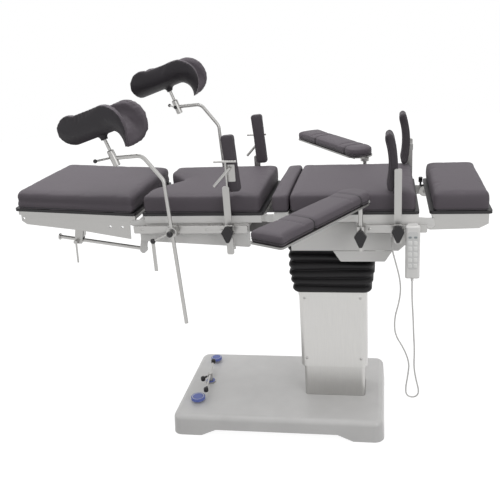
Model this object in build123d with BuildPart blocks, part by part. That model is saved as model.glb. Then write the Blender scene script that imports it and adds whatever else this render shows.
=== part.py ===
"""Operating table: a column on a T-shaped base carries a five-section top with its accessories.

+X runs towards the head end, -Y is the side with the hand control, +Z is up.
The origin is on the floor under the middle of the table top. All sizes are millimetres.
"""

import os
from math import atan2, cos, degrees, radians, sin, sqrt, tan

from build123d import *

os.makedirs("parts", exist_ok=True)

# Table top
TOP_LENGTH = 1950.0
TOP_WIDTH = 550.0
TOP_HEIGHT = 1126.0
PAD_THICKNESS = 80.0
PAD_CROWN = 5.0
PAD_EDGE_RADIUS = 16.0
PAD_CORNER_RADIUS = 22.0
BOARD_THICKNESS = 12.0
FRAME_DEPTH = 30.0
FRAME_MARGIN = 14.0
FRAME_BEAM = 34.0

# Lengthwise places of the sections
LEG_PAD_END = -449.0
SEAT_PAD_START = -413.0
SEAT_PAD_END = 87.0
KIDNEY_PAD_START = 123.0
BACK_PAD_START = 200.0
BACK_PAD_END = 700.0
HEAD_PAD_START = 751.0
CUTOUT_DEPTH = 104.0
CUTOUT_HALF_MOUTH = 150.0
CUTOUT_APEX_RADIUS = 24.0

# Hinges of the top
HINGE_PIN_RADIUS = 8.0
PIN_CLEARANCE = 0.05
LEG_HINGE = (-463.0, 1000.0)
LEG_REST_TILT = 3.0
BACK_HINGE = (110.0, 1016.0)
HEAD_HINGE = (752.0, 990.0)
HINGE_LUG_RADIUS = 14.0
HINGE_PLATE = 5.0
RUNNING_GAP = 0.5

# Side rails and clamps
RAIL_HEIGHT = 32.0
RAIL_THICKNESS = 10.0
RAIL_TOP = 1000.0
RAIL_INSET = -16.0
RAIL_SPACER_RADIUS = 9.0
CLAMP_WALL = 6.0
CLAMP_LENGTH = 34.0
SLIDE_GAP = 0.2

# Column
COLUMN_X = 345.0
COVER_LENGTH = 301.0
COVER_WIDTH = 190.0
COVER_TOP = 628.0
COVER_BOTTOM = 257.0
COVER_CORNER = 28.0
COVER_WALL = 3.0
COVER_RIM_HEIGHT = 22.0
COVER_RIM_STEP = 2.5
LOWER_INSET = 12.0
LOWER_TOP = 450.0
MAST_LENGTH = 216.0
MAST_WIDTH = 112.0
MAST_BOTTOM = 270.0
MAST_TOP = 690.0
GUIDE_WALL = 10.0

# Gimbal under the top
GIMBAL_Z = 760.0
GIMBAL_SIZE = 78.0
TRUNNION_RADIUS = 15.0
EAR_THICKNESS = 16.0
EAR_HALF_WIDTH = 34.0

# Bellows
BELLOWS_LENGTH = 373.0
BELLOWS_WIDTH = 262.0
BELLOWS_FOLDS = 6
BELLOWS_FOLD_DEPTH = 17.0
BELLOWS_CORNER = 46.0
BELLOWS_WALL = 6.0
BELLOWS_TAPER = 16.0

# Housing under the back section
HOUSING_START = 188.0
HOUSING_END = 686.0
HOUSING_HALF_WIDTH = 205.0
HOUSING_TOP = 985.0
HOUSING_BOTTOM = 856.0
HOUSING_SHEET = 3.0
HOUSING_FOLD_Z = 936.0
TRAY_DEPTH = 46.0
TRAY_START = 362.0
TRAY_END = 604.0
TRAY_SLOPE = 30.0

# Base
BASE_START = -387.0
BASE_END = 572.0
BASE_WIDTH = 602.0
BASE_HEIGHT = 101.0
BASE_CORNER = 44.0
BASE_EDGE = 26.0
BASE_WALL = 4.0
BASE_DRAFT = 4.0
FOOT_LENGTH = 128.0
ARCH_HEIGHT = 32.0
ARCH_SLOPE = 76.0
CHASSIS_THICKNESS = 12.0
CHASSIS_Z = 40.0
FOOT_RADIUS = 26.0
FOOT_HEIGHT = 9.0

# Foot controls
PEDAL_X = -290.0
LOCK_PEDAL_Y = -170.0
LOCK_PEDAL_RADIUS = 33.0
UNLOCK_PEDAL_Y = 205.0
UNLOCK_PEDAL_RADIUS = 27.0
PEDAL_TRAVEL = 10.0
PEDAL_RISE = 14.0
PEDAL_STEM_RADIUS = 8.0
SPINDLE_X = -272.0
SPINDLE_Y = 0.0
SPINDLE_RADIUS = 11.0
SPINDLE_TOP = 150.0
SPINDLE_ARM_RADIUS = 5.0
SPINDLE_KNOB_RADIUS = 11.0

# Base details
BASE_LIFT = 2.0
ARCH_ROUND = 14.0
END_ARCH_HEIGHT = 16.0
END_ARCH_SLOPE = 30.0
COLUMN_HOLE_GAP = 1.0
CHASSIS_INSET = 26.0
CHASSIS_BEAM = 60.0
CHASSIS_BEAM_HEIGHT = 34.0
DECK_MARGIN = 40.0
CONTROL_DECK = 120.0
POST_INSET = 22.0
POST_RADIUS = 12.0
FOOT_CHAMFER = 3.0
FOOT_STUD_RADIUS = 10.0
LOWER_WALL = 4.0
LOWER_SCREW_X = 124.0
LOWER_SCREW_Z = 140.0
LOWER_SCREW_RADIUS = 5.0
LOWER_SCREW_HEAD = 1.5
PEDAL_SPARE = 1.0
PEDAL_EDGE = 3.0
PEDAL_RING = 0.72
PEDAL_GROOVE = 2.0
SPINDLE_COLLAR = 24.0
SPINDLE_COLLAR_HEIGHT = 7.0
GRIP_NEAR = (-257.0, -141.0)
GRIP_MID = (-296.0, -45.0)
GRIP_FAR = (-286.0, 126.0)
GRIP_Z = 143.0
GRIP_HEIGHT = 24.0

# Column details
MAST_CORNER = 14.0
GUIDE_TOP = 440.0
FLANGE_THICKNESS = 10.0
EAR_GAP = 23.0
EAR_RIM = 11.0
TRUNNION_END = 2.0
GIMBAL_HEIGHT = 68.0
BELLOWS_BOTTOM = 628.0
BELLOWS_HEIGHT = 228.0
BELLOWS_TAPER_STEPS = 5
SADDLE_PLATE_Z = 880.0
SADDLE_THICKNESS = 20.0
SADDLE_LENGTH = 250.0
SADDLE_CORNER = 20.0
BEAM_Y = 140.0
BEAM_WIDTH = 40.0
BEAM_Z = 930.0
BEAM_HEIGHT = 52.0
BEAM_WALL = 4.0
BEAM_START = -430.0
BEAM_END = 620.0
HOUSING_FOLD_IN = 13.0
HOUSING_BEND = 7.0
HOUSING_SLOPE_TOP = 917.0
HOUSING_SLOPE_IN = 60.0
SEAM_X = 465.0
SEAM_WIDTH = 1.2
SEAM_DEPTH = 0.8

# Cushion and frame details
CUTOUT_RUN = 60.0
CUTOUT_LIP_RADIUS = 70.0
PAD_TAPER = 3.0
PAD_HEM = 5.0
BOARD_INSET = 13.0
BOARD_REACH = 6.0
BOARD_END_REACH = 3.0
BOARD_CORNER = 14.0
KIDNEY_SEAM = 4.0

# Leg section, measured from its hinge in its own tilted frame
LEG_PAD_LENGTH = 526.0
LEG_DECK_DEPTH = 18.0
LEG_DECK_INSET = 8.0
LEG_PLATE_INSET = 25.0
LEG_NECK = 22.0
LEG_MIDDLE = 241.0
LEG_DEPTH_ROOT = 76.0
LEG_DEPTH_MIDDLE = 48.0
LEG_DEPTH_TIP = 31.0
LEG_LUG_DROP = 16.0
LEG_LUG_LENGTH = 22.0
LEG_HOLE_NEAR = 56.0
LEG_HOLE_FAR = 109.0
LEG_HOLE_DROP = 24.0
LEG_HOLE_RADIUS = 5.0
LEG_TUBE_CORNER = 3.0
LEG_CROSS_TUBES = ((-60.0, 7.0, 14.0, 14.0), (-262.0, -39.0, 18.0, 18.0), (-480.0, -10.0, 20.0, 20.0))
STRUT_PIVOT = (-450.0, 868.0)
STRUT_END = (-825.0, 924.0)
STRUT_Y = -195.0
STRUT_RADIUS = 8.0
STRUT_EYE = 12.0
STRUT_EYE_RADIUS = 14.0
STRUT_PIN_RADIUS = 6.0
STRUT_BRACKET = 10.0
STRUT_FLANGE_RADIUS = 14.0
STRUT_CHEEK = 5.0
STRUT_CHEEK_GAP = 1.5
STRUT_CHEEK_LOW = -118.0
STRUT_PAD_HEIGHT = 45.0
STRUT_PAD_ROUND = 16.0
STRUT_SCREW = 18.0
STRUT_TEE = 96.0

# Seat section
SEAT_PLATE_START = -440.0
SEAT_PLATE_END = 28.0
SEAT_PLATE_LOW_LEG = 922.0
SEAT_PLATE_LOW_BACK = 894.0
SEAT_PLATE_INSET = 13.0
SEAT_CROSS = 34.0
SEAT_CROSS_Z = 988.0
SEAT_TIE = 18.0
SEAT_BLOCK = 95.0
SEAT_BLOCK_DEPTH = 22.0
SEAT_SLOT_X = -60.0
SEAT_SLOT_WIDTH = 10.0
SEAT_RAIL_START = -450.0
SEAT_SPACERS = (-415.0, -140.0, -80.0)
RAIL_CORNER = 6.0
RAIL_EDGE = 1.5

# Back, kidney and head sections
BACK_LUG_Y = 240.0
BACK_LUG_RADIUS = 16.0
BACK_CROSS_X = 450.0
BACK_RAIL_START = 462.0
BACK_RAIL_END = 735.0
BACK_SPACERS = (515.0, 650.0)
HEAD_ARM_Y = 252.0
HEAD_BOSS = 24.0
HEAD_TAPER = 36.0
HEAD_KNOB_X = 734.0
HEAD_KNOB_Y = 236.0
HEAD_KNOB_Z = 1036.0
HEAD_KNOB_RADIUS = 9.0
HEAD_KNOB_HEIGHT = 22.0
KIDNEY_PLATE_GAP = 47.0
KIDNEY_POST_X = 160.0
KIDNEY_POST_Y = 225.0
KIDNEY_POST_RADIUS = 11.0
KIDNEY_POST_LOW = 885.0
KIDNEY_GUIDE_WALL = 5.0
KIDNEY_GUIDE_LOW = 935.0

# Rail clamps and hand knobs
JAW_BACK_REACH = 4.0
JAW_FRONT_REACH = 16.0
POST_WIDTH = 28.0
POST_THICKNESS = 8.0
POST_GAP = 2.0
SWIVEL_PIN_RADIUS = 8.0
SWIVEL_RADIUS = 22.0
SWIVEL_DEPTH = 22.0
SWIVEL_EDGE = 3.0
SOCKET_RADIUS = 18.0
SOCKET_HEIGHT = 44.0
KNOB_STEM = 12.0
KNOB_STEM_RADIUS = 6.0
KNOB_WIDTH = 48.0
KNOB_CROWN = 21.1
KNOB_TOP = 26.4
KNOB_ARCH = 4.0
KNOB_WAIST = 6.6
KNOB_TIP = 13.4
KNOB_TIP_ARCH = 2.6
KNOB_DROP = 33.0
KNOB_DEPTH = 20.0

# Leg holders
LEG_CLAMP_X = -278.0
LEG_HOLDER_FAR_SHIFT = 88.0
LEG_HOLDER_FAR_RISE = 105.0
LEG_ROD_Y = 318.0
LEG_ROD_RADIUS = 8.0
LEG_ROD_BEND = 40.0
LEG_ROD_POINTS = ((-256.0, 577.0), (-286.0, 1198.0), (-364.0, 1300.0), (-478.0, 1292.0))
SWIVEL_BALL_RADIUS = 13.0
SWIVEL_BALL_REACH = 34.0
LEVER_RUN = 85.0
LEVER_DROP = 40.0
LEVER_RADIUS = 4.5
LEVER_BALL_RADIUS = 11.0
BLADE_LENGTH = 130.0
BLADE_WIDTH = 14.0
BLADE_THICKNESS = 5.0
PAD_CLAMP_OFFSET = 2.0
BARREL_RADIUS = 14.5
BARREL_LENGTH = 66.0
STEM_RADIUS = 7.0
STEM_LENGTH = 92.0
STEM_TILT = 19.7
STEM_SEAT = 2.0
TEE_ALONG = 50.0
TEE_ACROSS = 74.0
TEE_LENGTH = 89.0
TEE_RADIUS = 4.0
TEE_BALL_RADIUS = 8.0
BOSS_RADIUS = 17.0
BOSS_LENGTH = 18.0

# Knee gutters, in their own frame with the origin on the boss
GUTTER_RADIUS = 78.0
GUTTER_THICKNESS = 26.0
GUTTER_WALL = 128.0
GUTTER_SLOPE = 17.5
GUTTER_JOINT = (60.0, 19.0)
GUTTER_LENGTH = 260.0
GUTTER_ROLL = 48.0
GUTTER_ROLL_ARC = 120.0
GUTTER_TURN = {-1: -18.0, 1: -2.0}
GUTTER_OUTLINE = (
    (119.0, -41.0), (172.0, 42.0), (60.0, 135.0), (-78.0, 94.0), (-165.0, 14.0), (-128.0, -48.0)
)

# Side supports
HIP_X = -46.0
HIP_FAR_SHIFT = 20.0
HIP_FAR_DROP = 5.0
HIP_POST_SPAN = (881.0, 1165.0)
HIP_PAD_X = -24.0
HIP_PAD_Y = 267.5
HIP_PAD_Z = 1250.0
HIP_PAD_WIDTH = 56.0
HIP_PAD_HEIGHT = 230.0
HIP_PAD_DEPTH = 35.0
HIP_PAD_CORNER = 14.0
HIP_PAD_EDGE = 9.0
HIP_LEAN = 4.0
HIP_PLATE = 4.0
HIP_PLATE_WIDTH = 36.0
HIP_PLATE_HEIGHT = 68.0
HIP_PLATE_Z = 1216.0
HIP_ARM_RUN = 70.0
HIP_ARM_RISE = 75.0
HIP_ARM_RADIUS = 6.0
HIP_CROSS = 90.0
HIP_CROSS_Z = 1264.0
HIP_CROSS_RADIUS = 4.5
HIP_KNOB_Z = 978.0
SHOULDER_X = 623.0
SHOULDER_FAR_SHIFT = 62.0
SHOULDER_FAR_DROP = 0.0
SHOULDER_POST_SPAN = (928.0, 1224.0)
SHOULDER_PAD_CURVE = ((-36.0, 1341.0), (-20.0, 1267.0), (-29.0, 1142.0))
SHOULDER_PAD_THICKNESS = 29.0
SHOULDER_PAD_WIDTH = 100.0
SHOULDER_PAD_Y = 235.0
SHOULDER_PAD_EDGE = 9.0
SHOULDER_BRACKET = 18.0
SHOULDER_BRACKET_SHIFT = 5.1

# Arm boards
ARM_X = 481.0
ARM_POST_Y = 318.0
ARM_TURN = {-1: 242.2, 1: 121.8}
ARM_WIDTH = 136.0
ARM_INNER = 58.0
ARM_REACH = 546.0
ARM_CORNER = 12.0
ARM_TOP = 1157.0
ARM_FAR_RISE = 25.0
ARM_PAD = 40.0
ARM_PLATE = 7.0
ARM_PLATE_INSET = 3.0
ARM_CROWN = 2.5
ARM_EDGE = 9.0
ARM_CHANNELS = (92.0, 402.0)
ARM_CHANNEL_DEPTH = 7.0
ARM_POST_RADIUS = 9.0
ARM_POST_LOW = 902.0
ARM_COLLAR = 14.0
ARM_COLLAR_RADIUS = 20.0
ARM_PIVOT_RADIUS = 6.0
ARM_RIB_START = 40.0
ARM_RIB = 380.0
ARM_RIB_HEIGHT = 10.0
ARM_RIB_WALL = 3.0
ARM_KNOB_Z = 968.0

# Hand control and its cord
HANDSET_X = 680.0
HANDSET_Y = 295.0
HANDSET_WIDTH = 56.0
HANDSET_DEPTH = 26.0
HANDSET_LOW = 787.0
HANDSET_HIGH = 1003.0
HANDSET_EDGE = 6.0
HANDSET_HOOK = 40.0
HOOK_SHEET = 3.0
HOOK_GAP = 0.3
CORD_RADIUS = 3.0
CORD_POINTS = (
    (680.0, -308.0, 774.0),
    (680.0, -308.0, 704.0),
    (686.0, -310.0, 622.0),
    (689.0, -311.0, 545.0),
    (694.0, -311.0, 465.0),
    (692.0, -310.0, 390.0),
    (702.0, -309.0, 330.0),
    (713.0, -308.0, 284.0),
    (713.0, -308.0, 262.0),
    (703.0, -308.0, 248.0),
    (687.0, -307.0, 243.0),
    (671.0, -307.0, 248.0),
    (661.0, -307.0, 262.0),
    (661.0, -307.0, 296.0),
    (669.0, -308.0, 350.0),
    (674.0, -308.0, 408.0),
    (650.0, -309.0, 476.0),
    (614.0, -309.0, 536.0),
    (612.0, -308.0, 610.0),
    (630.0, -307.0, 680.0),
    (637.0, -306.0, 740.0),
    (629.0, -304.0, 798.0),
    (614.0, -289.0, 850.0),
    (600.0, -267.0, 898.0),
    (600.0, -267.0, 944.0),
)
GLAND_RADIUS = 6.0
GLAND_LENGTH = 26.0

SIDES = (("near", -1), ("far", 1))

half_length = TOP_LENGTH / 2
half_width = TOP_WIDTH / 2
pad_bottom = TOP_HEIGHT - PAD_THICKNESS
board_bottom = pad_bottom - BOARD_THICKNESS
frame_bottom = board_bottom - FRAME_DEPTH
frame_half = half_width - FRAME_MARGIN
rail_back = half_width - RAIL_INSET - RAIL_THICKNESS
rail_front = half_width - RAIL_INSET
rail_mid_z = RAIL_TOP - RAIL_HEIGHT / 2
jaw_back = rail_back - JAW_BACK_REACH
jaw_front = rail_front + JAW_FRONT_REACH
post_y = rail_front + POST_GAP + POST_THICKNESS / 2
gutter_inner = GUTTER_RADIUS - GUTTER_THICKNESS
bore_radius = HINGE_PIN_RADIUS + PIN_CLEARANCE


def save(piece, name):
    """Label a finished piece and write it as its own file."""
    piece.label = name
    export_step(piece, f"parts/{name}.step")


def side_plane(y=0.0, x=0.0, z=0.0):
    """Plane seen from the near side: local x runs along +X, local y along +Z, normal along -Y."""
    return Plane(origin=(x, y, z), x_dir=(1, 0, 0), z_dir=(0, -1, 0))


def end_plane(x=0.0, y=0.0, z=0.0):
    """Plane seen from the head end: local x runs along +Y, local y along +Z, normal along +X."""
    return Plane(origin=(x, y, z), x_dir=(0, 1, 0), z_dir=(1, 0, 0))


def top_plane(z=0.0, x=0.0, y=0.0):
    """Level plane at a height, with its origin over a point of the floor."""
    return Plane(origin=(x, y, z), x_dir=(1, 0, 0), z_dir=(0, 0, 1))


# Base

base_mid_x = (BASE_START + BASE_END) / 2
base_length = BASE_END - BASE_START
base_top_inner = BASE_HEIGHT - BASE_WALL
lower_length = COVER_LENGTH - 2 * LOWER_INSET
lower_width = COVER_WIDTH - 2 * LOWER_INSET
lower_corner = COVER_CORNER - LOWER_INSET
chassis_top = CHASSIS_Z + CHASSIS_THICKNESS


def make_base_cover():
    """Moulded cover: drafted walls, rounded top edge, four skirts that reach down to the floor."""
    plan_x = base_mid_x
    with BuildPart() as base_cover:
        with BuildSketch(top_plane(BASE_LIFT, plan_x)):
            RectangleRounded(base_length, BASE_WIDTH, BASE_CORNER)
        extrude(amount=BASE_HEIGHT - BASE_LIFT, taper=BASE_DRAFT)
        fillet(base_cover.faces().sort_by(Axis.Z)[-1].edges(), BASE_EDGE)
        offset(amount=-BASE_WALL, openings=base_cover.faces().sort_by(Axis.Z)[0])
        with BuildSketch(side_plane()) as arch:
            with BuildLine():
                Polyline(
                    (BASE_START + FOOT_LENGTH, -1),
                    (BASE_START + FOOT_LENGTH + ARCH_SLOPE, ARCH_HEIGHT),
                    (BASE_END - FOOT_LENGTH - ARCH_SLOPE, ARCH_HEIGHT),
                    (BASE_END - FOOT_LENGTH, -1),
                    close=True,
                )
            make_face()
            fillet(arch.vertices().sort_by(Axis.Y)[-2:], ARCH_ROUND)
        extrude(amount=BASE_WIDTH, both=True, mode=Mode.SUBTRACT)
        with BuildSketch(end_plane()) as end_arch:
            half_arch = BASE_WIDTH / 2 - FOOT_LENGTH
            with BuildLine():
                Polyline(
                    (-half_arch, -1),
                    (END_ARCH_SLOPE - half_arch, END_ARCH_HEIGHT),
                    (half_arch - END_ARCH_SLOPE, END_ARCH_HEIGHT),
                    (half_arch, -1),
                    close=True,
                )
            make_face()
            fillet(end_arch.vertices().sort_by(Axis.Y)[-2:], ARCH_ROUND / 2)
        extrude(amount=base_length, both=True, mode=Mode.SUBTRACT)
        with BuildSketch(top_plane(chassis_top, COLUMN_X)):
            RectangleRounded(
                lower_length + 2 * COLUMN_HOLE_GAP,
                lower_width + 2 * COLUMN_HOLE_GAP,
                lower_corner + COLUMN_HOLE_GAP,
            )
        extrude(amount=BASE_HEIGHT, mode=Mode.SUBTRACT)
        with BuildSketch(top_plane(chassis_top)):
            with Locations((PEDAL_X, LOCK_PEDAL_Y), (PEDAL_X, UNLOCK_PEDAL_Y)):
                Circle(PEDAL_STEM_RADIUS + PIN_CLEARANCE)
            with Locations((SPINDLE_X, SPINDLE_Y)):
                Circle(SPINDLE_RADIUS + PIN_CLEARANCE)
        extrude(amount=BASE_HEIGHT, mode=Mode.SUBTRACT)
    return base_cover.part


def make_base_chassis():
    """Welded chassis: two long beams, cross beams, a deck plate and the guide tube of the mast."""
    beam_y = BASE_WIDTH / 2 - CHASSIS_INSET - CHASSIS_BEAM / 2
    beam_length = base_length - 2 * CHASSIS_INSET
    cross_x = beam_length / 2 - CHASSIS_BEAM / 2
    with BuildPart() as base_chassis:
        with BuildSketch(top_plane(CHASSIS_Z, base_mid_x)):
            with Locations((0, -beam_y), (0, beam_y)):
                Rectangle(beam_length, CHASSIS_BEAM)
            with Locations((-cross_x, 0), (cross_x, 0)):
                Rectangle(CHASSIS_BEAM, 2 * beam_y)
        extrude(amount=CHASSIS_BEAM_HEIGHT)
        with BuildSketch(top_plane(CHASSIS_Z, COLUMN_X)):
            Rectangle(lower_length + 2 * DECK_MARGIN, 2 * beam_y)
        with BuildSketch(top_plane(CHASSIS_Z, PEDAL_X)):
            Rectangle(CONTROL_DECK, 2 * beam_y)
        extrude(amount=CHASSIS_THICKNESS)
        with BuildSketch(top_plane(chassis_top, COLUMN_X)):
            RectangleRounded(guide_length, guide_width, MAST_CORNER + GUIDE_WALL)
        extrude(amount=GUIDE_TOP - chassis_top)
        with BuildSketch(top_plane(chassis_top, COLUMN_X)):
            RectangleRounded(
                MAST_LENGTH + 2 * SLIDE_GAP, MAST_WIDTH + 2 * SLIDE_GAP, MAST_CORNER + SLIDE_GAP
            )
        extrude(amount=GUIDE_TOP, mode=Mode.SUBTRACT)
        with BuildSketch(top_plane(chassis_top, base_mid_x)):
            with GridLocations(2 * (cross_x - POST_INSET), 2 * (beam_y - POST_INSET), 2, 2):
                Circle(POST_RADIUS)
        extrude(amount=base_top_inner - chassis_top)
    return base_chassis.part


def make_base_feet():
    """Four rubber feet under the corners of the chassis, each with a stud into its beam."""
    beam_y = BASE_WIDTH / 2 - CHASSIS_INSET - CHASSIS_BEAM / 2
    cross_x = base_length / 2 - CHASSIS_INSET - CHASSIS_BEAM / 2
    with BuildPart() as base_feet:
        with BuildSketch(top_plane(0, base_mid_x)):
            with GridLocations(2 * cross_x, 2 * beam_y, 2, 2):
                Circle(FOOT_RADIUS)
        extrude(amount=FOOT_HEIGHT)
        chamfer(base_feet.faces().filter_by(Axis.Z).group_by(Axis.Z)[-1].edges(), FOOT_CHAMFER)
        with BuildSketch(top_plane(FOOT_HEIGHT, base_mid_x)):
            with GridLocations(2 * cross_x, 2 * beam_y, 2, 2):
                Circle(FOOT_STUD_RADIUS)
        extrude(amount=CHASSIS_Z - FOOT_HEIGHT)
    return base_feet.part


def make_lower_column():
    """Fixed lower shell of the column, open at the top, with a flange on the deck plate."""
    with BuildPart() as lower_column:
        with BuildSketch(top_plane(chassis_top, COLUMN_X)):
            RectangleRounded(lower_length, lower_width, lower_corner)
            RectangleRounded(
                lower_length - 2 * LOWER_WALL,
                lower_width - 2 * LOWER_WALL,
                lower_corner - LOWER_WALL,
                mode=Mode.SUBTRACT,
            )
        extrude(amount=LOWER_TOP - chassis_top)
        with BuildSketch(side_plane(-lower_width / 2, COLUMN_X, LOWER_SCREW_Z)):
            with Locations((-LOWER_SCREW_X, 0), (LOWER_SCREW_X, 0)):
                Circle(LOWER_SCREW_RADIUS)
        extrude(amount=LOWER_SCREW_HEAD)
    return lower_column.part


def make_pedal(y, radius):
    """Round foot pedal: a domed disc with a grooved ring on a stem through the cover."""
    disc_bottom = BASE_HEIGHT + PEDAL_TRAVEL + PEDAL_SPARE
    disc_top = BASE_HEIGHT + PEDAL_RISE + PEDAL_TRAVEL
    with BuildPart() as pedal:
        with BuildSketch(top_plane(disc_bottom, PEDAL_X, y)):
            Circle(radius)
        extrude(amount=disc_top - disc_bottom)
        fillet(pedal.edges().group_by(Axis.Z)[-1], PEDAL_EDGE)
        with BuildSketch(top_plane(disc_top, PEDAL_X, y)):
            Circle(radius * PEDAL_RING + PEDAL_GROOVE)
            Circle(radius * PEDAL_RING, mode=Mode.SUBTRACT)
        extrude(amount=-PEDAL_GROOVE, mode=Mode.SUBTRACT)
        with BuildSketch(top_plane(disc_bottom, PEDAL_X, y)):
            Circle(PEDAL_STEM_RADIUS)
        extrude(amount=chassis_top + PEDAL_TRAVEL + PEDAL_SPARE - disc_bottom)
    return pedal.part


def make_brake_lever():
    """Foot lever: an upright spindle with a collar, two swept arms and three round grips."""
    grips = ((GRIP_NEAR, GRIP_Z), (GRIP_MID, GRIP_Z), (GRIP_FAR, GRIP_Z))
    arm_z = SPINDLE_TOP - SPINDLE_ARM_RADIUS - 2
    with BuildPart() as brake_lever:
        with BuildSketch(top_plane(chassis_top + PEDAL_SPARE, SPINDLE_X, SPINDLE_Y)):
            Circle(SPINDLE_RADIUS)
        extrude(amount=SPINDLE_TOP - chassis_top - PEDAL_SPARE)
        with BuildSketch(top_plane(BASE_HEIGHT + RUNNING_GAP, SPINDLE_X, SPINDLE_Y)):
            Circle(SPINDLE_COLLAR)
        extrude(amount=SPINDLE_COLLAR_HEIGHT)
        for (x, y), z in grips:
            reach = sqrt((x - SPINDLE_X) ** 2 + (y - SPINDLE_Y) ** 2)
            turn = degrees(atan2(y - SPINDLE_Y, x - SPINDLE_X))
            along = Plane(
                origin=(SPINDLE_X, SPINDLE_Y, arm_z),
                x_dir=(-sin(radians(turn)), cos(radians(turn)), 0),
                z_dir=(cos(radians(turn)), sin(radians(turn)), 0),
            )
            with BuildSketch(along):
                Circle(SPINDLE_ARM_RADIUS)
            extrude(amount=reach)
    with BuildPart() as grip_group:
        for (x, y), z in grips:
            with BuildSketch(top_plane(z - GRIP_HEIGHT / 2, x, y)):
                Circle(SPINDLE_KNOB_RADIUS)
            extrude(amount=GRIP_HEIGHT)
        fillet(grip_group.edges().filter_by(GeomType.CIRCLE), GRIP_HEIGHT * 0.3)
    lever = brake_lever.part - grip_group.part
    return Compound(children=[lever, *grip_group.part.solids()])


# Column and gimbal

guide_length = MAST_LENGTH + 2 * (SLIDE_GAP + GUIDE_WALL)
guide_width = MAST_WIDTH + 2 * (SLIDE_GAP + GUIDE_WALL)
yoke_inner = GIMBAL_SIZE / 2 + EAR_GAP
yoke_outer = yoke_inner + EAR_THICKNESS
trunnion_reach = yoke_outer + TRUNNION_END
ear_round = TRUNNION_RADIUS + EAR_RIM


def make_column_cover():
    """Rising cover of the column: a long tube with a slightly proud band round its top."""
    with BuildPart() as column_cover:
        with BuildSketch(top_plane(COVER_BOTTOM, COLUMN_X)):
            RectangleRounded(COVER_LENGTH, COVER_WIDTH, COVER_CORNER)
        extrude(amount=COVER_TOP - COVER_BOTTOM)
        with BuildSketch(top_plane(COVER_TOP - COVER_RIM_HEIGHT, COLUMN_X)):
            RectangleRounded(
                COVER_LENGTH + 2 * COVER_RIM_STEP,
                COVER_WIDTH + 2 * COVER_RIM_STEP,
                COVER_CORNER + COVER_RIM_STEP,
            )
        extrude(amount=COVER_RIM_HEIGHT)
        with BuildSketch(top_plane(COVER_BOTTOM, COLUMN_X)):
            RectangleRounded(
                COVER_LENGTH - 2 * COVER_WALL, COVER_WIDTH - 2 * COVER_WALL, COVER_CORNER - COVER_WALL
            )
        extrude(amount=COVER_TOP, mode=Mode.SUBTRACT)
    return column_cover.part


def make_inner_mast():
    """Lifting mast: tube in the guide, flange that carries the cover, and a yoke for the gimbal."""
    with BuildPart() as inner_mast:
        with BuildSketch(top_plane(MAST_BOTTOM, COLUMN_X)):
            RectangleRounded(MAST_LENGTH, MAST_WIDTH, MAST_CORNER)
        extrude(amount=MAST_TOP - MAST_BOTTOM)
        with BuildSketch(top_plane(MAST_BOTTOM, COLUMN_X)):
            RectangleRounded(
                MAST_LENGTH - 2 * GUIDE_WALL, MAST_WIDTH - 2 * GUIDE_WALL, MAST_CORNER / 2
            )
        extrude(amount=MAST_TOP - MAST_BOTTOM - EAR_THICKNESS, mode=Mode.SUBTRACT)
        with BuildSketch(top_plane(COVER_TOP - COVER_RIM_HEIGHT, COLUMN_X)):
            RectangleRounded(
                COVER_LENGTH - 2 * COVER_WALL, COVER_WIDTH - 2 * COVER_WALL, COVER_CORNER - COVER_WALL
            )
            RectangleRounded(
                MAST_LENGTH - 2 * GUIDE_WALL,
                MAST_WIDTH - 2 * GUIDE_WALL,
                MAST_CORNER / 2,
                mode=Mode.SUBTRACT,
            )
        extrude(amount=FLANGE_THICKNESS)
        with BuildSketch(top_plane(MAST_TOP - EAR_THICKNESS, COLUMN_X)):
            Rectangle(2 * EAR_HALF_WIDTH, 2 * yoke_outer)
        extrude(amount=EAR_THICKNESS)
        with BuildSketch(side_plane(-yoke_inner, COLUMN_X)) as ear:
            with Locations((0, GIMBAL_Z)):
                Circle(ear_round)
            with BuildLine():
                Polyline(
                    (-EAR_HALF_WIDTH, MAST_TOP - EAR_THICKNESS),
                    (EAR_HALF_WIDTH, MAST_TOP - EAR_THICKNESS),
                    (ear_round, GIMBAL_Z),
                    (-ear_round, GIMBAL_Z),
                    close=True,
                )
            make_face()
            with Locations((0, GIMBAL_Z)):
                Circle(TRUNNION_RADIUS, mode=Mode.SUBTRACT)
        extrude(amount=EAR_THICKNESS)
        mirror(about=Plane.XZ)
    return inner_mast.part


def make_gimbal_cross():
    """Cross block with one pair of trunnions across the table and one pair along it."""
    shaft = TRUNNION_RADIUS - PIN_CLEARANCE
    with BuildPart() as gimbal_cross:
        with Locations((COLUMN_X, 0, GIMBAL_Z)):
            Box(GIMBAL_SIZE, GIMBAL_SIZE, GIMBAL_HEIGHT)
        chamfer(gimbal_cross.edges().filter_by(Axis.Z), GIMBAL_HEIGHT / 10)
        with BuildSketch(side_plane(0, COLUMN_X, GIMBAL_Z)):
            Circle(shaft)
        extrude(amount=trunnion_reach, both=True)
        with BuildSketch(end_plane(COLUMN_X, 0, GIMBAL_Z)):
            Circle(shaft)
        extrude(amount=trunnion_reach, both=True)
    return gimbal_cross.part


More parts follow.
